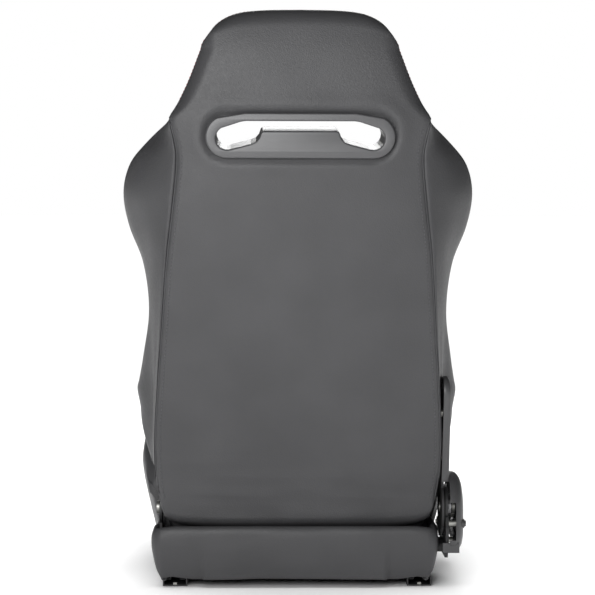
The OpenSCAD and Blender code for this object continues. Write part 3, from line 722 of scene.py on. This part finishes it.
def hinge_room(side):
    """The clearance inside the lower back for the hinge arm and its bracket."""
    x0, x1 = (213, 225) if side > 0 else (-227, -215)
    corners = [(-28.5, -10), (31.5, -10), (31.5, 150), (-28.5, 150)]
    return raked_prism("hinge_tool", corners, x0, x1)


# ---- wings of the back ----------------------------------------------------------------------

def wing_ring(z0, shrink=1.0):
    """One level of the right wing, from its rear seam round the outside to the pad."""
    lift = max(0, 1.33 * (330 - z0) / (330 - 176))
    inner = BACK_PAD_HALF + 2
    seam = panel_x(z0) + 1
    out = max(outline_x(z0), seam + 5) + 7 * exp(-((z0 - 212) / 40) ** 2)
    flank = min(max(curve(FLANK, z0), seam + 3), out - 1)
    front = curve(WING, z0)
    pad = BACK_T - 4
    profile = [(seam - 3, POCKET + 2), (seam - 2, 30), (seam - 1, 17), (seam + 1.5, 9.5),
               (lerp(seam, flank, 0.3), 21), (lerp(seam, flank, 0.68), 43),
               (flank, 68), (lerp(flank, out, 0.75), lerp(68, front, 0.3)),
               (out, lerp(68, front, 0.6)), (out - 1.5, front - 18), (out - 8, front - 4),
               (out - 24, front), (out - 44, lerp(front, pad, 0.25)),
               (lerp(inner, out - 44, 0.4), lerp(front, pad, 0.72)), (inner + 5, pad),
               (inner, pad - 14), (inner, POCKET + 14), (inner + 4, POCKET + 3),
               (lerp(inner, seam, 0.5), POCKET + 2)]
    ring = []
    for x, d in profile:
        x = lerp(seam - (12 if z0 > 700 else 0), x, shrink)
        d = lerp(POCKET * 0.6, d, shrink)
        z = z0 + max(0, d - 60) * lift
        puff = 0.9 * ripple(x / 55, d / 40, z / 60, 6) if d > 24 else 0
        ring.append((x + puff, rear_y(z) + d + puff, z))
    return smooth_ring(ring, 72)


def make_back_wings():
    levels = ([(177, 0.9), (180, 0.97)] + [(z, 1.0) for z in steps(186, 742, 64)]
              + [(748, 0.97), (754, 0.9), (759, 0.78), (763, 0.6), (765, 0.35)])
    right = lofted("back_wing_right", [wing_ring(z, s) for z, s in levels])

    def still(x, y, z):
        d = y - rear_y(z)
        x = abs(x)
        ends = max(1 - (z - 177) / 14, (z - 738) / 16, 0)
        rear = 1 if d < 14 or (d < POCKET + 6 and x < panel_x(z) + 2) else max(0, 1 - (d - 14) / 30)
        inside = 1 if x < BACK_PAD_HALF + 8 and d < BACK_T - 2 else 0
        front = 0.75 * exp(-((d - curve(WING, z) + 4) / 7) ** 2)
        return min(max(ends, rear, inside, front), 1)

    settle(right, still, pressure=3.5, cap=4.0)
    left = mirrored(right, "back_wing_left")
    for piece, name, side in ((right, "right", 1), (left, "left", -1)):
        subdivided(piece)
        upholster(piece, "backrest", 0.9, "back_bolster_" + name)
        front = [(side * (outline_x(z) - 12), rear_y(z) + curve(WING, z) - 1, z)
                 for z in steps(345, 738, 60)]
        piping("wing_front_welt_" + name, piece, front, 2.4, "backrest")
        for shift in (-9, 9):
            row = [(x + side * shift, y + abs(shift) * 0.1, z) for x, y, z in front]
            stitches(f"wing_stitches_{name}_{'in' if shift < 0 else 'out'}", piece, row,
                     "backrest", RED_THREAD)


# ---- front of the back ----------------------------------------------------------------------

def channel(value, pitch, width, depth):
    """Sewn grooves repeated at a pitch."""
    off = (value / pitch) % 1.0
    return pinch(min(off, 1 - off) * pitch, width, depth)


def groove_seam(value, pitch):
    """Distance to the nearest of the grooves."""
    return min(value % pitch, pitch - value % pitch)


def make_back_pad():
    def place(t, u):
        x = u * BACK_PAD_HALF
        edge = min((1 - abs(u)) * BACK_PAD_HALF, t * 528, (1 - t) * 528)
        z = lerp(174.5, 704, t)
        d = BACK_T + 5 * sin(radians((z - 172) * 0.5)) + 3 * (1 - u * u) - roll(edge, 14)
        if abs(x) < PANEL_SEAM:
            d -= channel(z - 196, 56, 6, 4.5)
        d -= pinch(abs(abs(x) - PANEL_SEAM), 6, 5)
        d += 0.8 * ripple(x / 50, z / 30, 0, 8)
        return ((x, rear_y(z) + d, z + (d - BACK_T) * 0.05),
                (x, rear_y(z) + POCKET + 2, lerp(174.5, 699.5, t)))

    pad = pillow("back_pad_skin", steps(0, 1, 84), cover_columns(20), place)

    def still(x, y, z):
        seams = max(exp(-((abs(x) - PANEL_SEAM) / 5) ** 2),
                    exp(-(groove_seam(z - 196, 56) / 5) ** 2) if abs(x) < PANEL_SEAM else 0)
        edge = 1 if abs(x) > BACK_PAD_HALF - 10 or y - rear_y(z) < BACK_T - 16 else 0
        ends = 1 if z < 190 or z > 690 else 0
        return max(seams, edge, ends)

    settle(pad, still, pressure=4.0, cap=5.0)
    upholster(pad, "backrest", 0.8, "back_pad")
    for side, name in reversed(SIDES):
        row = [(side * 117.5, rear_y(z) + BACK_T, z) for z in steps(200, 690, 60)]
        stitches("back_pad_stitches_" + name, pad, row, "backrest", RED_THREAD)


def make_base_roll():
    profile = [(-196, 90), (-181, 94), (-167, 105), (-151, 124), (-141, 148), (-141, 168), (-150, 171),
               (-203, 171), (-202, 160), (-200, 130), (-198, 100)]
    rings = []
    for x in steps(-211, 211, 48):
        e = 211 - abs(x)
        s = lerp(1, 0.8, roll(e, 16) / 16)
        ring = [(x, lerp(-175, y, s), lerp(135, z, s)) for y, z in profile]
        rings.append(smooth_ring(ring, 44))
    upholster(lofted("lumbar_base_roll", rings), "backrest", 0.8, "back_base_roll")


def make_head_pad(cover):
    rows = [("body", lerp(0.874, 1, s)) for s in steps(0, 1, 16)]
    rows += [("top", sin(pi / 2 * s)) for s in steps(0, 1, 14)[1:]]

    def place(row, u):
        kind, t = row
        x, z = cover_place(u, kind, t)
        e = (1 - abs(u)) * 170
        if kind == "top":
            e = min(e, (1 - t) * 62)
        d = BACK_T + 7 * exp(-((z - 850) / 40) ** 2) - 10 * abs(u) ** 3
        d -= roll(e, 30) * 0.95
        low = z - 777
        d -= roll(max(low, 0), 12) * 0.8 if low < 12 else 0
        d -= pinch(abs(abs(x) - 104), 5, 3.5) if z < 905 else 0
        return ((x * 0.985, rear_y(z) + d, z - 2 * t if kind == "top" else z),
                (x * 0.97, rear_y(z) + POCKET + 2, min(z, SEAT_HEIGHT - 6)))

    pad = pillow("head_pad_skin", rows, cover_columns(26), place)

    def still(x, y, z):
        return 1 if y - rear_y(z) < BACK_T - 26 or abs(abs(x) - 104) < 5 or z < 786 else 0

    settle(pad, still, pressure=4.0, cap=4.0)
    upholster(pad, "backrest", 0.9, "head_pad")
    half = [(outline_x(z) - 2, z) for z in steps(790, NECK_Z, 10)]
    half += [(p.x - 1, p.z - 1) for p in reversed(TOP_CURVE[4:])]
    rim = [(x, rear_y(z) + POCKET, z) for x, z in both_sides(half)]
    piping("head_welt", pad, rim, 1.2, "backrest")
    rear_rim = [(x * 0.995, rear_y(z) + 34, z) for x, z in both_sides(half)]
    stitches("head_rim_stitches", cover, rear_rim, "backrest", RED_THREAD)
    for side, name in SIDES:
        row = [(side * 109, rear_y(z) + BACK_T, z) for z in steps(792, 900, 20)]
        stitches("head_stitches_" + name, pad, row, "backrest", RED_THREAD)


# ---- cushion --------------------------------------------------------------------------------

def make_seat_pad():
    top = [(-118, 166), (-108, 178), (-80, 182), (-20, 178), (60, 181), (150, 190), (214.5, 196)]

    def place(t, u):
        y = lerp(-117.5, 214, t)
        x = u * SEAT_PAD_HALF
        edge = min((1 - abs(u)) * SEAT_PAD_HALF, t * 331, (1 - t) * 331)
        z = curve(top, y) + 2 * (1 - u * u) - roll(edge, 12)
        if abs(x) < SEAT_SEAM:
            z -= channel(y + 100, 54, 6, 4.5)
        z -= pinch(abs(abs(x) - SEAT_SEAM), 6, 5)
        z += 0.8 * ripple(x / 50, y / 30, 0, 9)
        return (x, y, z), (x, y, 85)

    pad = pillow("seat_pad_skin", steps(0, 1, 60), cover_columns(20), place)

    def still(x, y, z):
        seams = max(exp(-((abs(x) - SEAT_SEAM) / 5) ** 2),
                    exp(-(groove_seam(y + 100, 54) / 5) ** 2) if abs(x) < SEAT_SEAM else 0)
        edge = 1 if abs(x) > SEAT_PAD_HALF - 8 or z < 165 or y < -106 or y > 204 else 0
        return max(seams, edge)

    settle(pad, still, pressure=4.0, cap=5.0)
    upholster(pad, "seat_base", 0.8, "seat_pad")
    for side, name in SIDES:
        row = [(side * 123.5, y, 182) for y in steps(-98, 200, 40)]
        stitches("seat_pad_stitches_" + name, pad, row, "seat_base", RED_THREAD)


def cushion_ring(y, shrink=1.0):
    top = curve(CREST, y)
    out = CUSHION_HALF - curve(TUCK, y)
    profile = [(198, 86), (197.5, 60), (199, 39), (215, 36), (out - 34, 38), (out - 25, 62),
               (out - 13, 110), (out - 3, 158), (out, top - 27), (out - 6, top - 9), (out - 21, top),
               (out - 42, top - 6), (out - 66, top - 23), (173, min(top - 31, 196)),
               (166, min(top - 40, 180)), (165.5, 120), (166.5, 88), (182, 85)]
    ring = []
    for x, z in profile:
        x, z = lerp(200, x, shrink), lerp(100, z, shrink)
        puff = 0.9 * ripple(x / 50, y / 45, z / 45, 11) if x > 215 else 0
        ring.append((x + puff, y, z + puff))
    return smooth_ring(ring, 68)


def make_seat_wings():
    levels = [(-111, 0.9), (-108, 0.96), (-102, 0.99)] + [(y, 1.0) for y in steps(-94, 246, 44)]
    levels += [(252, 0.985), (257, 0.95), (260, 0.88), (261.5, 0.75)]
    right = lofted("seat_wing_right", [cushion_ring(y, s) for y, s in levels])

    def still(x, y, z):
        x = abs(x)
        ends = max(1 - (y + 111) / 20, (y - 240) / 14, 0)
        inside = 1 if z < 70 or x < 176 else 0
        off = hypot(x - (CUSHION_HALF - curve(TUCK, y) - 18), z - curve(CREST, y))
        crest = 0.7 * exp(-(off / 8) ** 2)
        return min(max(ends, inside, crest), 1)

    settle(right, still, pressure=3.5, cap=4.0)
    left = mirrored(right, "seat_wing_left")
    for piece, name, side in ((right, "right", 1), (left, "left", -1)):
        subdivided(piece)
        upholster(piece, "seat_base", 0.9, "seat_bolster_" + name)
        crest = [(side * (CUSHION_HALF - curve(TUCK, y) - 10), y, curve(CREST, y) - 1)
                 for y in steps(-92, 252, 50)]
        piping("seat_wing_welt_" + name, piece, crest, 2.4, "seat_base")
        row = [(x - side * 12, y, z + 1) for x, y, z in crest]
        stitches("seat_wing_stitches_" + name, piece, row, "seat_base", RED_THREAD)


def make_front_roll():
    profile = [(217, 46), (240, 45), (262, 46), (275, 52), (281.5, 70), (283, 110), (282, 150),
               (275, 176), (260, 192), (240, 198), (222, 197), (217, 190), (216.8, 120)]
    rings = []
    for x in steps(-162.5, 162.5, 60):
        s = lerp(1, 0.86, roll(162.5 - abs(x), 10) / 10)
        ring = [(x, lerp(240, y, s), lerp(120, z, s) + 0.9 * ripple(x / 45, z / 30, y / 40, 12))
                for y, z in profile]
        rings.append(smooth_ring(ring, 56))
    front = lofted("front_roll_skin", rings)
    upholster(front, "seat_base", 0.9, "seat_front_roll")
    seam = [(x, 282, 166) for x in steps(-156, 156, 30)]
    piping("front_roll_welt", front, seam, 2.2, "seat_base")
    row = [(x, 280, 174) for x in steps(-154, 154, 30)]
    stitches("front_roll_stitches", front, row, "seat_base", RED_THREAD)


def skirt_ring(x, y, nx, ny, low, top, lean):
    """Cross-section of the skirt: a soft padded wall with a rolled top and a hem."""
    wall = [(-1, low + 4), (-0.5, low), (-5, low - 1), (-9.5, low + 1), (-10, low + 8), (-10, 60),
            (-11, top - 20), (-10.5, top - 7), (-7, top), (-3, top - 2), (0.2, top - 9),
            (1.6, top - 20), (1.8, 62), (0.8, low + 20)]
    ring = []
    for off, z in wall:
        share = (z - low) / (top - low)
        out = off - lean * (1 - share) ** 2.6
        bulge = 1.3 * ripple(x / 90, y / 90, z / 24, 14) * (off > -4)
        ring.append((x + nx * (out + bulge), y + ny * (out + bulge), z))
    return smooth_ring(ring, 48)


SKIRT_CORNER = 18
SKIRT_DROP = 5          # how far its top sinks at the corners
SKIRT_SHIFT = -4        # it sits a little towards the side without the recliner


def skirt_path(corner=SKIRT_CORNER):
    """Plan of the skirt, from the right flank round the rear to the left."""
    half, rear = SKIRT_HALF - 1, -CUSHION_REAR + 1
    turn = [Vector((half - corner + corner * cos(a), rear + corner - corner * sin(a), 0))
            for a in steps(0, pi / 2, 12)]
    side = [Vector((half, y, 0)) for y in steps(-117, rear + corner + 4, 16)]
    back = [Vector((x, rear, 0)) for x in steps(half - corner - 4, -half + corner + 4, 80)]
    return side + turn + back + [Vector((-p.x, p.y, 0)) for p in reversed(side + turn)]


def make_rear_skirt():
    path = skirt_path()
    rings = []
    for i, p in enumerate(path):
        along = (path[min(i + 1, len(path) - 1)] - path[max(i - 1, 0)]).normalized()
        nx, ny = -along.y, along.x
        if nx * p.x + ny * (p.y + 150) < 0:
            nx, ny = -nx, -ny
        over_rail = max(0, 1 - abs(abs(p.x) - 200) / 34) if p.y < -230 else 1
        arch = 4.5 * (1 - (abs(p.x) / SKIRT_HALF) ** 2)
        low = lerp(11 + arch + 1.2 * ripple(p.x / 60, p.y / 60, 0, 15), RAIL_H + 1.5, over_rail)
        sunk = max(0, (abs(p.x) - 190) / 44) ** 1.5 if p.y < -225 else 1
        top = SKIRT_TOP - SKIRT_DROP * sunk
        shift = SKIRT_SHIFT * (p.y < -200)
        rings.append(skirt_ring(p.x + shift, p.y, nx, ny, low, top, 15 if abs(p.x) > 150 else 5))
    wall = lofted("skirt_wall", rings)
    shelf_profile = [(-252, 96), (-243, 95), (-234, 89), (-218, 82.5), (-200, 79.5), (-182, 82),
                     (-166, 90), (-150, 96), (-122, 94), (-120, 80), (-124, 73.5), (-180, 73),
                     (-246, 73.5), (-252, 80)]
    shelf = lofted("skirt_shelf", [smooth_ring([(x, y, z) for y, z in shelf_profile], 52)
                                   for x in steps(-211, 211, 40)])
    upholster(joined("rear_skirt", [wall, shelf]), "seat_base", 0.5, "seat_rear_roll")


# ---- mouldings ------------------------------------------------------------------------------

def moulding(name, outlines, d0, d1, rounding):
    """A flat moulding with rounded edges, between two depths in the slot's frame."""
    data = bpy.data.curves.new(name, "CURVE")
    data.dimensions = "2D"
    data.fill_mode = "BOTH"
    for outline in outlines:
        line = data.splines.new("POLY")
        line.points.add(len(outline) - 1)
        for point, (x, h) in zip(line.points, outline):
            point.co = (x * MM, h * MM, 0, 1)
        line.use_cyclic_u = True
    data.bevel_depth = rounding * MM
    data.bevel_resolution = 4
    data.offset = -rounding * MM
    data.extrude = ((d1 - d0) / 2 - rounding) * MM
    flat = bpy.data.objects.new(name + "_curve", data)
    bpy.context.scene.collection.objects.link(flat)
    graph = bpy.context.evaluated_depsgraph_get()
    mesh = bpy.data.meshes.new_from_object(flat.evaluated_get(graph))
    bpy.data.objects.remove(flat)
    centre = (d0 + d1) / 2
    for v in mesh.vertices:
        x, h, up = v.co / MM
        v.co = Vector(slot_place(x, centre - up, h)) * MM
    work = bmesh.new()
    work.from_mesh(mesh)
    bmesh.ops.remove_doubles(work, verts=work.verts, dist=1e-6)
    bmesh.ops.recalc_face_normals(work, faces=work.faces)
    work.to_mesh(mesh)
    work.free()
    return placed(name, mesh)


def keep_flats(piece, angle=35):
    """Smooth shading that stays crisp across sharp corners."""
    m = piece.modifiers.new("crisp", "EDGE_SPLIT")
    m.split_angle = radians(angle)


def make_bezels():
    rear = moulding("harness_bezel_rear_moulding", [bezel_outline(0), slot_outline(0)],
                    -6.4, -0.4, 2.6)
    front = moulding("harness_bezel_front_moulding", [bezel_outline(1), slot_outline(0)],
                     106, 110, 1.8)
    for piece, node in ((rear, "harness_bezel_rear"), (front, "harness_bezel_front")):
        keep_flats(piece)
        dress(piece, BEZEL, "backrest")
        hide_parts(node)


def convex_outline(circles, n):
    """n points round the smallest outline that holds some circles: (centre, centre, radius)."""
    out = []
    for k in range(n):
        a = tau * k / n
        out.append(max((y * cos(a) + z * sin(a) + r for y, z, r in circles)))
    points = []
    for k in range(n):
        a, step = tau * k / n, tau / n
        reach, slope = out[k], (out[(k + 1) % n] - out[k - 1]) / (2 * step)
        points.append((reach * cos(a) - slope * sin(a), reach * sin(a) + slope * cos(a)))
    return points


# (y, z, radius) of the circles that the pod's outline wraps
POD_CIRCLES = [(-205, 130, 55), (-128, 92, 37), (-225, 92, 37)]


def make_pod():
    """The recliner's side cover: a domed shell with a thin wall, open inboard and at its rear."""
    centre = Vector((-190, 104))
    outline = [Vector(p) for p in convex_outline(POD_CIRCLES, 96)]
    profile = [(248.4, 1.0), (256, 0.995), (260, 0.975), (263.5, 0.935), (267, 0.87), (270, 0.77),
               (272, 0.62), (273, 0.38), (273.3, 0.1)]
    inner = [(270.4, 0.1), (270.1, 0.36), (269, 0.58), (267, 0.73), (264, 0.84), (260, 0.92),
             (248.4, 0.96)]
    rings = [[(x, *(centre + (p - centre) * s)) for p in outline] for x, s in profile + inner]
    n = len(outline)
    points = [p for ring in rings for p in ring]
    rim = (len(rings) - 1) * n
    faces = ring_faces(len(rings), n)
    faces += [(rim + i, rim + (i + 1) % n, (i + 1) % n, i) for i in range(n)]
    hub = len(points)
    points += [(273.3, *centre), (270.4, *centre)]
    mid = (len(profile) - 1) * n    # first point of the outer skin's last ring
    faces = [f for f in faces if not (min(f) >= mid and max(f) < mid + 2 * n)]
    faces += [(mid + i, mid + (i + 1) % n, hub) for i in range(n)]
    faces += [(mid + n + i, mid + n + (i + 1) % n, hub + 1) for i in range(n)]
    shell = mesh_piece("recliner_pod_shell", points, faces)
    cut(shell, block("lever_tool", (240, -174, 40), (266.4, -50, 112)))
    cut(shell, block("rear_tool", (240, -272, 78), (258, -236, 140)))
    foot = block("pod_foot", (237, -253, 57), (264, -248.5, 73))
    bosses = [lofted("boss", [[(x, y + b * cos(a), z + b * sin(a)) for a in steps(0, tau, 24)[:-1]]
                              for x, b in ((266, 7.6), (271.4, 7.4), (272.8, 6.8), (273.2, 5.6))])
              for y, z in ((-243, 104), (-125, 102))]
    pod = joined("recliner_pod_cover", [shell, foot] + bosses)
    keep_flats(pod, 40)
    dress(pod, COVER, "seat_base")
    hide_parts("recliner_pod")


def block(name, low, high):
    """A box from one corner to the other."""
    points = [(x, y, z) for x in (low[0], high[0]) for y in (low[1], high[1])
              for z in (low[2], high[2])]
    faces = [(0, 1, 3, 2), (4, 6, 7, 5), (0, 4, 5, 1), (2, 3, 7, 6), (0, 2, 6, 4), (1, 5, 7, 3)]
    return mesh_piece(name, points, faces, smooth=False)


def make_arm_cover():
    """The slim moulded cover over the recliner's arm, rounded at its top and flared at its foot."""
    low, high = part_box("arm_cover_right")
    x0, x1 = low[0] / MM - 5, high[0] / MM - 2
    rings = []
    for t in steps(0, 1, 40):
        v = lerp(54, 227, t)
        end = sqrt(max(1 - max(0, (v - 202) / 25.4) ** 2, 0.002))
        half = 24.5 * end
        out = lerp(x0 + 5, x1 - 1.2, end) + 1.0 * exp(-(v - 54) / 16)
        section = [(x0 + 0.4, -half), (x0 + 4, -half * 1.02), (out - 2.5, -half * 0.98),
                   (out - 0.3, -half * 0.86), (out, -half * 0.6), (out, half * 0.6),
                   (out - 0.3, half * 0.86), (out - 2.5, half * 0.98), (x0 + 4, half * 1.02),
                   (x0 + 0.4, half)]
        ring = [(x, *on_arm(u, v)) for x, u in section]
        rings.append(smooth_ring(ring, 44))
    cover = lofted("arm_cover_shell", rings)
    cut(cover, arm_tool(x0))
    keep_flats(cover, 50)
    dress(cover, COVER, "backrest")
    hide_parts("arm_cover_right")


def arm_tool(x0):
    """The hollow of the arm cover, which the arm and its bolts stand in."""
    corners = [(-21, 40), (21, 40), (21, 200), (14, 214), (0, 220), (-14, 214), (-21, 200)]
    return raked_prism("arm_tool", corners, x0 - 2, x0 + 10.5)


def round_edges():
    """Rounds the corners of the plain mouldings and pressed parts of the frame."""
    widths = {"lever_grip": 4.0, "rail_stops": 0.3,
              "recliner_plate_right": 0.5, "recliner_arm_right": 0.5, "hinge_bracket_left": 0.5,
              "hinge_arm_left": 0.5, "lever_arm": 0.5, "harness_sleeve": 0.6, "pod_screws": 0.6,
              "lower_rail_left": 0.5, "lower_rail_right": 0.5, "base_side_left": 0.5,
              "base_side_right": 0.5, "hinge_bolt_left": 1.2, "recliner_pin_right": 1.2}
    for name, width in widths.items():
        m = frame["nodes"][name].modifiers.new("rounded", "BEVEL")
        m.width = width * MM
        m.segments = 3
        m.limit_method = "ANGLE"
        m.angle_limit = radians(40)
        m.harden_normals = False


# ---- room, light and camera -----------------------------------------------------------------

def make_floor():
    """A wide plain floor, a hair under the rails."""
    half = 40000
    floor = mesh_piece("floor", [(-half, -half, -0.4), (half, -half, -0.4), (half, half, -0.4),
                                 (-half, half, -0.4)], [(0, 1, 2, 3)])
    m, tree, shader = new_material("pale_floor", (0.9, 0.9, 0.9), 0.85)
    mottle = texture(tree, "ShaderNodeTexNoise", 3, Detail=3.0)
    tree.links.new(ramp(tree, mottle.outputs["Fac"], (0.9, 0.9, 0.9), (0.93, 0.93, 0.93)),
                   shader.inputs["Base Color"])
    shader.inputs["Specular IOR Level"].default_value = 0.1
    floor.data.materials.append(m)
    return floor


def area_light(name, place, target, size, power):
    data = bpy.data.lights.new(name, "AREA")
    data.shape = "RECTANGLE"
    data.size, data.size_y = size
    data.energy = power
    lamp = bpy.data.objects.new(name, data)
    lamp.location = place
    lamp.rotation_euler = (Vector(target) - Vector(place)).to_track_quat("-Z", "Y").to_euler()
    lamp.visible_camera = False
    bpy.context.scene.collection.objects.link(lamp)


def make_light(floor):
    """A pale surround, soft lights behind and in front of the seat, and a sun on the floor alone."""
    world = bpy.data.worlds.new("studio")
    world.use_nodes = True
    tree = world.node_tree
    seen = tree.nodes.new("ShaderNodeLightPath")
    strength = tree.nodes.new("ShaderNodeMapRange")
    strength.inputs["To Min"].default_value = 0.1
    strength.inputs["To Max"].default_value = 1.0
    tree.links.new(seen.outputs["Is Camera Ray"], strength.inputs["Value"])
    tree.links.new(strength.outputs["Result"], tree.nodes["Background"].inputs["Strength"])
    tree.nodes["Background"].inputs["Color"].default_value = (1, 1, 1, 1)
    bpy.context.scene.world = world
    area_light("key", (-0.5, -2.2, 0.88), (0, -0.3, 0.62), (1.1, 0.8), 30)
    area_light("occupant_side", (0.15, 2.8, 1.7), (0, 0, 0.5), (1.0, 1.0), 16)
    data = bpy.data.lights.new("floor_light", "SUN")
    data.energy = 3.5
    data.angle = radians(70)
    sun = bpy.data.objects.new("floor_light", data)
    bpy.context.scene.collection.objects.link(sun)
    lit = bpy.data.collections.new("lit_by_floor_light")
    lit.objects.link(floor)
    sun.light_linking.receiver_collection = lit


CAMERA_AZIMUTH, CAMERA_ELEVATION, CAMERA_DISTANCE = -1.3, 3.0, 3.4
CAMERA_ROLL = 0.15
AIM = (-0.003, -0.33, 0.478)
FOCAL = 130


def make_camera():
    az, el = radians(CAMERA_AZIMUTH), radians(CAMERA_ELEVATION)
    away = Vector((sin(az) * cos(el), -cos(az) * cos(el), sin(el)))
    data = bpy.data.cameras.new("camera")
    data.lens = FOCAL
    data.sensor_width = 36
    camera = bpy.data.objects.new("camera", data)
    camera.location = Vector(AIM) + away * CAMERA_DISTANCE
    facing = (-away).to_track_quat("-Z", "Y")
    camera.rotation_euler = (facing @ Quaternion((0, 0, 1), radians(CAMERA_ROLL))).to_euler()
    bpy.context.scene.collection.objects.link(camera)
    bpy.context.scene.camera = camera
    bpy.context.scene.view_settings.view_transform = "Standard"


finish_frame()
rear_cover = make_rear_cover()
make_back_wings()
make_back_pad()
make_base_roll()
make_head_pad(rear_cover)
make_seat_pad()
make_seat_wings()
make_front_roll()
make_rear_skirt()
make_bezels()
make_pod()
make_arm_cover()
round_edges()
make_light(make_floor())
make_camera()
